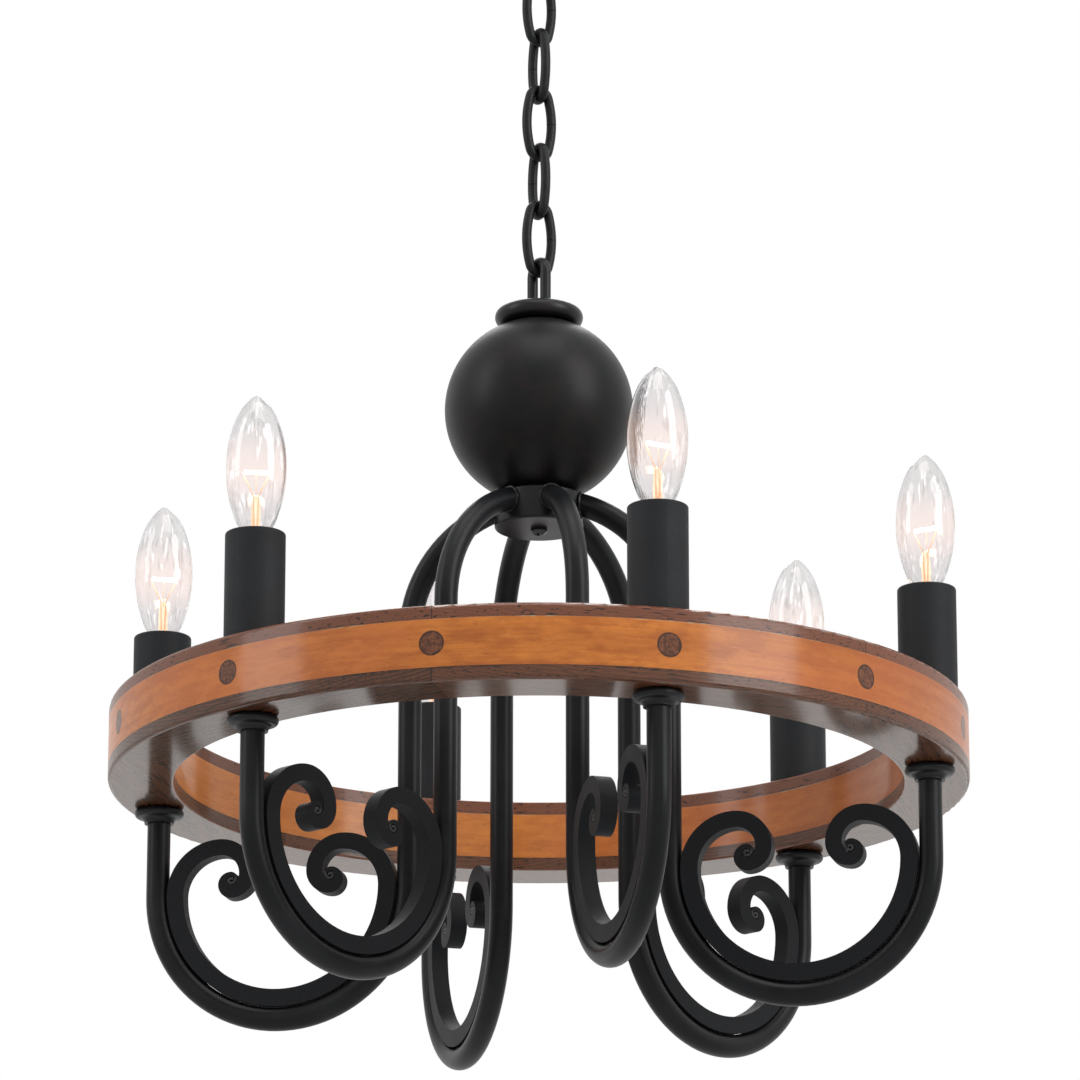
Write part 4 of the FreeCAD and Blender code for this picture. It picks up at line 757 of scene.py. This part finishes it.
def copied_round(model, stem, body_stem, node_stem, twists=(0,) * CANDLES):
    """One copy of a candle's piece for each candle, turned about its candle's axis by its twist.

    Each rides on the body of its own number and stands for that body's node.
    """
    out = Matrix.Translation((CANDLE_REACH, 0, 0))
    for number, twist in enumerate(twists, 1):
        copy = bpy.data.objects.new("%s_%d" % (stem, number), model.data.copy())
        own_turn = out @ Matrix.Rotation(math.radians(twist), 4, "Z") @ out.inverted()
        copy.data.transform(Matrix.Rotation((number - 1) * CANDLE_STEP, 4, "Z") @ own_turn)
        bpy.context.scene.collection.objects.link(copy)
        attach(copy, "%s_%d" % (body_stem, number))
        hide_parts("%s_%d" % (node_stem, number))
    bpy.data.objects.remove(model)


def drawn(name, corners, filled=False):
    """A piece whose mesh is the chain of these corners, or the face inside them."""
    piece = add_shape(name, bpy.ops.mesh.primitive_plane_add, size=1 * MM)
    mesh = bmesh.new()
    points = [mesh.verts.new(corner) for corner in corners]
    if filled:
        mesh.faces.new(points)
    else:
        for ends in zip(points, points[1:]):
            mesh.edges.new(ends)
    mesh.to_mesh(piece.data)
    mesh.free()
    return piece


def spin_up(piece, steps, **settings):
    """Spins a line round the upright axis. With an offset, it climbs along the axis as a screw does."""
    apply_modifier(piece, "SCREW", angle=2 * math.pi, steps=steps, render_steps=steps, axis="Z", **settings)


def closed_up():
    """Merges doubles in edit mode and points the faces outwards."""
    bpy.ops.mesh.remove_doubles(threshold=0.005 * MM)
    bpy.ops.mesh.normals_make_consistent(inside=False)


def turned_profile(name, corners, centre, steps=48):
    """A turned form: a closed or open chain of (radius, level) corners spun round an upright axis."""
    piece = drawn(name, [(radius, 0, level) for radius, level in corners])
    spin_up(piece, steps, use_merge_vertices=True, merge_threshold=0.01 * MM)
    edit(piece, closed_up)
    piece.location = centre
    settle(piece)
    return piece


def bent_wire(name, points, radius, centre):
    """A round wire through these points of the candle's own frame."""
    curve = bpy.data.curves.new(name, "CURVE")
    curve.dimensions = "3D"
    curve.bevel_depth = radius
    curve.bevel_resolution = 3
    curve.use_fill_caps = True
    spline = curve.splines.new("NURBS")
    spline.points.add(len(points) - 1)
    for point, place in zip(spline.points, points):
        point.co = (*place, 1.0)
    spline.order_u = 3
    spline.use_endpoint_u = True
    piece = bpy.data.objects.new(name, curve)
    bpy.context.scene.collection.objects.link(piece)
    pick(piece)
    bpy.ops.object.convert(target="MESH")
    piece = bpy.context.object
    piece.location = centre
    settle(piece)
    return piece


class CHANDELIER_OT_curl_eyes(bpy.types.Operator):
    """The innermost turn of each curl, where the bar is drawn out thin and closes the eye"""

    bl_idname = "chandelier.curl_eyes"
    bl_label = "Curl eyes"

    def execute(self, context):
        middle = (scroll_low.x + scroll_high.x) / 2
        # The eye's centre, measured from the near upper corner of the scroll's box
        eye = Vector((scroll_low.x + 36.4 * MM, 0, scroll_high.z - 23.4 * MM))
        half_width = (scroll_high.y - scroll_low.y) / 2 - 0.1 * MM
        # Angle (degrees) and distance from the eye's centre (mm) of the bar's two edges
        outer_edge = ((46, 4.25), (20, 3.55), (0, 3.15), (-30, 2.55), (-60, 2.25), (-90, 2.1), (-130, 2.05),
                      (-180, 2.0), (-230, 1.95), (-280, 1.88), (-320, 1.75), (-345, 1.4), (-365, 1.0))
        inner_edge = ((36, 2.42), (0, 1.65), (-30, 1.25), (-60, 1.0), (-90, 0.85), (-130, 0.7), (-180, 0.6),
                      (-230, 0.5), (-280, 0.45), (-320, 0.45), (-350, 0.5))

        def rounded_off(edge):
            """The edge's corners with finer ones between them."""
            places = []
            for (start, near), (end, far) in zip(edge, edge[1:]):
                steps = max(2, round((start - end) / 9))
                for step in range(steps):
                    part = step / steps
                    places.append((start + (end - start) * part, near + (far - near) * part))
            return places + [edge[-1]]

        outline = rounded_off(outer_edge) + rounded_off(inner_edge)[::-1]
        model = drawn("curl_eye", [(distance * MM * math.cos(math.radians(angle)), -half_width,
                                    distance * MM * math.sin(math.radians(angle)))
                                   for angle, distance in outline], filled=True)
        edit(model, lambda: bpy.ops.mesh.extrude_region_move(
                 TRANSFORM_OT_translate={"value": (0, 2 * half_width, 0)}),
             lambda: bpy.ops.mesh.select_all(action="SELECT"),
             lambda: bpy.ops.mesh.normals_make_consistent(inside=False))
        apply_modifier(model, "BEVEL", width=0.2 * MM, segments=2, limit_method="ANGLE",
                       angle_limit=math.radians(50))
        model.location = eye
        settle(model)
        centre = Matrix.Translation((middle, 0, 0))
        mirror = centre @ Matrix.Diagonal((-1, 1, 1, 1)) @ centre.inverted()
        eyes = []
        for number in range(CANDLES):
            for facing in (Matrix.Identity(4), mirror):
                copy = bpy.data.objects.new("curl_eye", model.data.copy())
                copy.data.transform(Matrix.Rotation(number * CANDLE_STEP, 4, "Z") @ facing)
                if facing is mirror:
                    copy.data.flip_normals()
                context.scene.collection.objects.link(copy)
                eyes.append(copy)
        bpy.data.objects.remove(model)
        piece = joined("curl_eyes", eyes)
        smooth(piece)
        piece.data.materials.clear()
        piece.data.materials.append(bpy.data.materials["black_scroll"])
        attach(piece, "fixture")
        return {"FINISHED"}


class CHANDELIER_OT_weld_beads(bpy.types.Operator):
    """Rippled weld beads round the arms where they meet the hub"""

    bl_idname = "chandelier.weld_beads"
    bl_label = "Weld beads"

    def execute(self, context):
        colours, sizes = context.scene.chandelier_colours, context.scene.chandelier_sizes
        bead_ring, ripples, sides = 6.5 * MM, 18, 10
        root_level = hub_high.z - 6.5 * MM
        beads = []
        for number in range(CANDLES):
            bead = add_shape("weld_bead", bpy.ops.mesh.primitive_torus_add, major_radius=bead_ring,
                             minor_radius=sizes.bead_radius, major_segments=4 * ripples,
                             minor_segments=sides, rotation=(0, math.pi / 2, 0),
                             location=(HUB_RADIUS, 0, root_level))
            bead.scale = (1.06, 1.0, 1.0)
            settle(bead)
            ripple = bmesh.new()
            ripple.from_mesh(bead.data)
            for vertex in ripple.verts:
                angle = math.atan2(vertex.co.z - root_level, vertex.co.y)
                vertex.select = math.cos(ripples * angle) < 0
            ripple.select_flush_mode()
            ripple.to_mesh(bead.data)
            ripple.free()
            bpy.ops.object.mode_set(mode="EDIT")
            bpy.ops.transform.shrink_fatten(value=-0.25 * MM)
            bpy.ops.mesh.select_all(action="SELECT")
            bpy.ops.transform.vertex_random(offset=0.3 * MM, uniform=0.3, normal=0.6, seed=number + 1)
            bpy.ops.mesh.vertices_smooth(factor=0.5, repeat=2)
            bpy.ops.object.mode_set(mode="OBJECT")
            apply_modifier(bead, "SUBSURF", levels=1, render_levels=1)
            bead.data.transform(Matrix.Rotation(number * CANDLE_STEP, 4, "Z"))
            beads.append(bead)
        piece = joined("weld_beads", beads)
        smooth(piece, math.pi)
        material = blotched("weld", 2.5 * MM, colours.paint, colours.weld, (0.52, 0.7),
                            (0.4, 0.7, 0.42, 0.3), 0.08 * MM, Specular_IOR_Level=0.25)[0]
        piece.data.materials.append(material)
        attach(piece, "fixture")
        return {"FINISHED"}


class CHANDELIER_OT_bulb_bases(bpy.types.Operator):
    """Screw shells with a rolled thread, an insulating cone and a solder contact"""

    bl_idname = "chandelier.bulb_bases"
    bl_label = "Bulb bases"

    def execute(self, context):
        colours, sizes = context.scene.chandelier_colours, context.scene.chandelier_sizes
        centre = (CANDLE_REACH, 0, 0)
        crest = (base_high.x - base_low.x) / 2
        root = crest - sizes.thread_depth
        shell_low, skirt = base_low.z + 4.4 * MM, base_high.z - 2.2 * MM
        turns = (skirt - shell_low) / sizes.thread_pitch - 1
        waves = 8
        middle, half = (crest + root) / 2, (crest - root) / 2
        thread = drawn("screw_shell", [
            (middle + half * math.cos(2 * math.pi * step / waves), 0,
             shell_low + sizes.thread_pitch * step / waves) for step in range(waves + 1)])
        whole = int(turns)
        spin_up(thread, 36, screw_offset=sizes.thread_pitch, iterations=whole, use_merge_vertices=False)
        edit(thread, closed_up)
        thread.location = centre
        settle(thread)
        top = shell_low + sizes.thread_pitch * (whole + 1)
        collar = turned_profile("skirt", [
            (root - 0.3 * MM, top - sizes.thread_pitch), (root, top - 0.2 * MM), (crest, top + 0.3 * MM),
            (crest, base_high.z - 0.3 * MM), (crest - 0.3 * MM, base_high.z),
            (crest - 1.2 * MM, base_high.z), (crest - 1.2 * MM, base_high.z - 1.0 * MM),
        ], centre)
        foot = turned_profile("shell_foot", [
            (crest - 1.6 * MM, shell_low - 0.2 * MM), (root, shell_low),
            (root, shell_low + sizes.thread_pitch),
        ], centre)
        cone = turned_profile("cone", [
            (root, shell_low), (crest - 1.5 * MM, shell_low - 0.8 * MM), (2.7 * MM, base_low.z + 1.3 * MM),
            (0, base_low.z + 1.3 * MM),
        ], centre)
        contact = turned_profile("contact", [
            (2.6 * MM, base_low.z + 1.4 * MM), (2.5 * MM, base_low.z + 0.7 * MM),
            (1.6 * MM, base_low.z + 0.15 * MM), (0, base_low.z),
        ], centre, 24)
        brass, tree, shader = blotched("bulb_brass", 3 * MM, colours.brass, shade(colours.brass, 0.55),
                                       (0.45, 0.7), (0.35, 0.7, 0.2, 0.42), detail=4.0, Metallic=1.0)
        rolling = noise(tree, scaled(tree, object_place(tree), (0.2, 0.2, 1.0)), 0.3 * MM, 2.0)
        feed(tree, shader, Normal=bump(tree, rolling, 0.01 * MM))
        insulator = blotched("base_insulator", 1 * MM, (0.012, 0.01, 0.012), (0.03, 0.026, 0.03),
                             rough=(0.3, 0.7, 0.15, 0.3))[0]
        solder = blotched("solder", 1 * MM, (0.5, 0.5, 0.5), (0.25, 0.25, 0.26), rough=(0.3, 0.7, 0.3, 0.5),
                          depth=0.1 * MM, Metallic=1.0)[0]
        for piece, material in ((thread, brass), (collar, brass), (foot, brass), (cone, insulator),
                                (contact, solder)):
            piece.data.materials.append(material)
        model = joined("screw_shell", [thread, collar, foot, cone, contact])
        smooth(model)
        copied_round(model, "screw_shell", "bulb_base", "bulb_base")
        return {"FINISHED"}


class CHANDELIER_OT_bulb_mounts(bpy.types.Operator):
    """Glass stems, lead wires and glowing coils inside the bulbs, the stems and wires with a painted glow"""

    bl_idname = "chandelier.bulb_mounts"
    bl_label = "Bulb mounts"

    def execute(self, context):
        colours, sizes = context.scene.chandelier_colours, context.scene.chandelier_sizes
        foot = mount_low.z
        mouth = foot + 0.5 * MM
        centre = Vector((CANDLE_REACH, 0, mouth))
        span = mount_high.x - CANDLE_REACH - 0.6 * MM
        rise = mount_high.z - sizes.coil_radius - sizes.coil_wire - mouth
        stem = turned_profile("stem", [
            (5.4 * MM, -0.4 * MM), (4.2 * MM, 0.5 * MM), (3.0 * MM, 2.5 * MM), (2.5 * MM, 5.5 * MM),
            (2.5 * MM, 13 * MM), (2.3 * MM, 15 * MM), (1.9 * MM, 17 * MM), (1.7 * MM, 19.2 * MM),
            (1.2 * MM, 20 * MM), (0, 20.2 * MM),
        ], centre, 32)
        leads = [bent_wire("lead", [
            (0.6 * MM * side, 0, 4 * MM), (0.8 * MM * side, 0, 12 * MM), (0.9 * MM * side, 0, 19 * MM),
            (2.4 * MM * side, 0, 23 * MM), (0.82 * span * side, 0, rise - 4 * MM),
            (span * side, 0, rise - 1 * MM), (span * side, 0, rise + 0.25 * MM),
        ], sizes.lead_radius, centre) for side in (1, -1)]
        support = bent_wire("support", [
            (0, 0.5 * MM, 17 * MM), (0, 0.9 * MM, 22 * MM), (0.2 * MM, 1.4 * MM, 28 * MM),
            (0.1 * MM, 0.9 * MM, rise - 0.3 * MM), (0, -0.7 * MM, rise - 0.2 * MM),
        ], 0.14 * MM, centre)
        coil_length = 2 * span - 1.0 * MM
        coil = add_shape("coil", bpy.ops.mesh.primitive_circle_add, vertices=6, radius=sizes.coil_wire,
                         location=(sizes.coil_radius, 0, 0), rotation=(math.pi / 2, 0, 0))
        settle(coil)
        spin_up(coil, 12, screw_offset=coil_length / sizes.coil_turns, iterations=sizes.coil_turns)
        edit(coil, lambda: bpy.ops.mesh.fill_holes(sides=8),
             lambda: bpy.ops.mesh.normals_make_consistent(inside=False))
        coil.rotation_euler = (0, math.pi / 2, 0)
        coil.location = centre + Vector((-coil_length / 2, 0, rise))
        settle(coil)
        # Painted glow: the glass stem gives off the filament's light as its own.
        stem_glass = blotched("stem_glass", 2 * MM, (0.95, 0.9, 0.85), (0.8, 0.72, 0.66),
                              Transmission_Weight=0.8, Roughness=0.12, IOR=1.5, Emission_Color=colours.glow,
                              Emission_Strength=0.5)[0]
        lead_wire, tree, shader = new_material("lead_wire")
        level = axes(tree, object_place(tree))["Z"]
        # Painted glow: the lead wires give off light and turn paler towards the filament, standing in for
        # the filament's light on them.
        painted_lead_glow_share = stretched(tree, level, mouth + 16 * MM, mouth + rise)
        feed(tree, shader, Metallic=1.0, Roughness=0.35,
             Base_Color=blend_colours(tree, painted_lead_glow_share, (0.6, 0.33, 0.2), (0.85, 0.6, 0.4)),
             Emission_Color=blend_colours(tree, painted_lead_glow_share, (0.25, 0.07, 0.02), colours.glow),
             Emission_Strength=1.2)
        glow, tree, shader = new_material("filament_glow")
        along = noise(tree, object_place(tree), 2.5 * MM, 1.0)
        light = blend_colours(tree, stretched(tree, along, 0.3, 0.7, 0.0, 0.6), colours.glow, (1, 0.8, 0.6))
        feed(tree, shader, Base_Color=(0.4, 0.35, 0.3), Roughness=0.5, Emission_Color=light,
             Emission_Strength=14.0)
        for piece, material in ((stem, stem_glass), *((lead, lead_wire) for lead in leads),
                                (support, lead_wire), (coil, glow)):
            piece.data.materials.clear()
            piece.data.materials.append(material)
        model = joined("bulb_mount", [stem, *leads, support, coil])
        smooth(model)
        copied_round(model, "bulb_mount", "bulb", "bulb_filament", COIL_TWISTS)
        return {"FINISHED"}


# --- Stage ------------------------------------------------------------------------------------------

def seen_rays(tree):
    """1 for the rays of the camera, of reflections and of glass."""
    path = put(tree, "LightPath", {}).outputs
    mirrored = calc(tree, "MAXIMUM", path["Is Glossy Ray"], path["Is Transmission Ray"])
    return calc(tree, "MAXIMUM", path["Is Camera Ray"], mirrored)


class CHANDELIER_OT_stage(bpy.types.Operator):
    """Pale floor, white background, soft lamps and the camera"""

    bl_idname = "chandelier.stage"
    bl_label = "Stage"

    def execute(self, context):
        scene, stage = context.scene, context.scene.chandelier_stage
        floor = add_shape("floor", bpy.ops.mesh.primitive_circle_add, vertices=96, radius=9.0,
                          fill_type="NGON", location=(0, 0, stage.floor_level))
        material, tree, shader = blotched("floor_paper", 0.004, (0.84, 0.84, 0.84), (0.88, 0.88, 0.88),
                                          Roughness=0.9, Specular_IOR_Level=0.1)
        white = put(tree, "Emission", {"Color": (1, 1, 1), "Strength": 1.0})
        bright = put(tree, "MixShader", {0: calc(tree, "MULTIPLY", seen_rays(tree), 0.7),
                                         1: shader.outputs[0], 2: white.outputs[0]})
        clear = put(tree, "BsdfTransparent", {})
        behind = put(tree, "NewGeometry", {}).outputs["Backfacing"]
        shown = put(tree, "MixShader", {0: behind, 1: bright.outputs[0], 2: clear.outputs[0]})
        tree.links.new(shown.outputs[0], tree.nodes["Material Output"].inputs["Surface"])
        floor.data.materials.append(material)

        world = bpy.data.worlds.new("white_room")
        world.use_nodes = True
        tree = world.node_tree
        room = calc(tree, "MULTIPLY_ADD", seen_rays(tree), 1.0 - stage.ambient, stage.ambient)
        background = tree.nodes["Background"]
        background.inputs["Color"].default_value = (1, 1, 1, 1)
        tree.links.new(room, background.inputs["Strength"])
        scene.world = world

        lamps = (
            ("right_lamp", (2.25, -0.85, 0.75), (1.2, 2.2), stage.side_power),
            ("left_lamp", (-2.1, -1.3, 0.8), (0.9, 2.0), 0.45 * stage.side_power),
            ("top_lamp", (0.3, -0.7, 1.9), (1.6, 1.6), stage.top_power),
            ("back_lamp", (-0.6, 2.2, 1.7), (1.6, 1.0), 0.4 * stage.side_power),
        )
        aim = Vector((0, 0, -0.42))
        for name, place, (width, height), power in lamps:
            lamp = bpy.data.lights.new(name, "AREA")
            lamp.shape = "RECTANGLE"
            lamp.size, lamp.size_y = width, height
            lamp.energy = power
            holder = bpy.data.objects.new(name, lamp)
            holder.location = place
            holder.rotation_euler = (aim - Vector(place)).to_track_quat("-Z", "Y").to_euler()
            holder.visible_transmission = False
            scene.collection.objects.link(holder)

        camera = bpy.data.cameras.new("camera")
        camera.lens = 196.895
        camera.sensor_width = 36.0
        camera.clip_end = 50.0
        holder = bpy.data.objects.new("camera", camera)
        holder.location = (0.726285, -3.0241, -1.319316)
        turn = [math.radians(angle) for angle in (106.175, -0.024, 13.487)]
        holder.rotation_euler = Euler(turn)
        scene.collection.objects.link(holder)
        scene.camera = holder
        scene.view_settings.view_transform = "Standard"
        return {"FINISHED"}


# --- Panel and registration ---------------------------------------------------------------------------

STEPS = ("steelwork", "plated_steel", "rim", "sockets", "bulb_glass", "curl_eyes", "weld_beads",
         "bulb_bases", "bulb_mounts", "stage")


class CHANDELIER_PT_panel(bpy.types.Panel):
    """Settings and steps of the chandelier"""

    bl_idname = "CHANDELIER_PT_panel"
    bl_label = "Chandelier"
    bl_space_type = "VIEW_3D"
    bl_region_type = "UI"
    bl_category = "Chandelier"

    def draw(self, context):
        scene = context.scene
        for settings in (scene.chandelier_sizes, scene.chandelier_colours, scene.chandelier_stage):
            box = self.layout.box()
            for name in settings.__annotations__:
                box.prop(settings, name)
        for step in STEPS:
            self.layout.operator("chandelier." + step)


CLASSES = (ChandelierColours, ChandelierSizes, ChandelierStage, CHANDELIER_OT_steelwork,
           CHANDELIER_OT_plated_steel, CHANDELIER_OT_rim, CHANDELIER_OT_sockets, CHANDELIER_OT_bulb_glass,
           CHANDELIER_OT_curl_eyes, CHANDELIER_OT_weld_beads, CHANDELIER_OT_bulb_bases,
           CHANDELIER_OT_bulb_mounts, CHANDELIER_OT_stage, CHANDELIER_PT_panel)


def register():
    for one in CLASSES:
        bpy.utils.register_class(one)
    bpy.types.Scene.chandelier_colours = PointerProperty(type=ChandelierColours)
    bpy.types.Scene.chandelier_sizes = PointerProperty(type=ChandelierSizes)
    bpy.types.Scene.chandelier_stage = PointerProperty(type=ChandelierStage)


def unregister():
    del bpy.types.Scene.chandelier_stage
    del bpy.types.Scene.chandelier_sizes
    del bpy.types.Scene.chandelier_colours
    for one in reversed(CLASSES):
        bpy.utils.unregister_class(one)


def main():
    """Registers the add-on and makes the looks."""
    register()
    for make_group in (make_paint_film_group, make_sector_group, make_straight_grain_group,
                       make_glue_line_group, make_edge_highlight_group):
        make_group()
    for step in STEPS:
        getattr(bpy.ops.chandelier, step)()


if __name__ == "__main__":
    main()
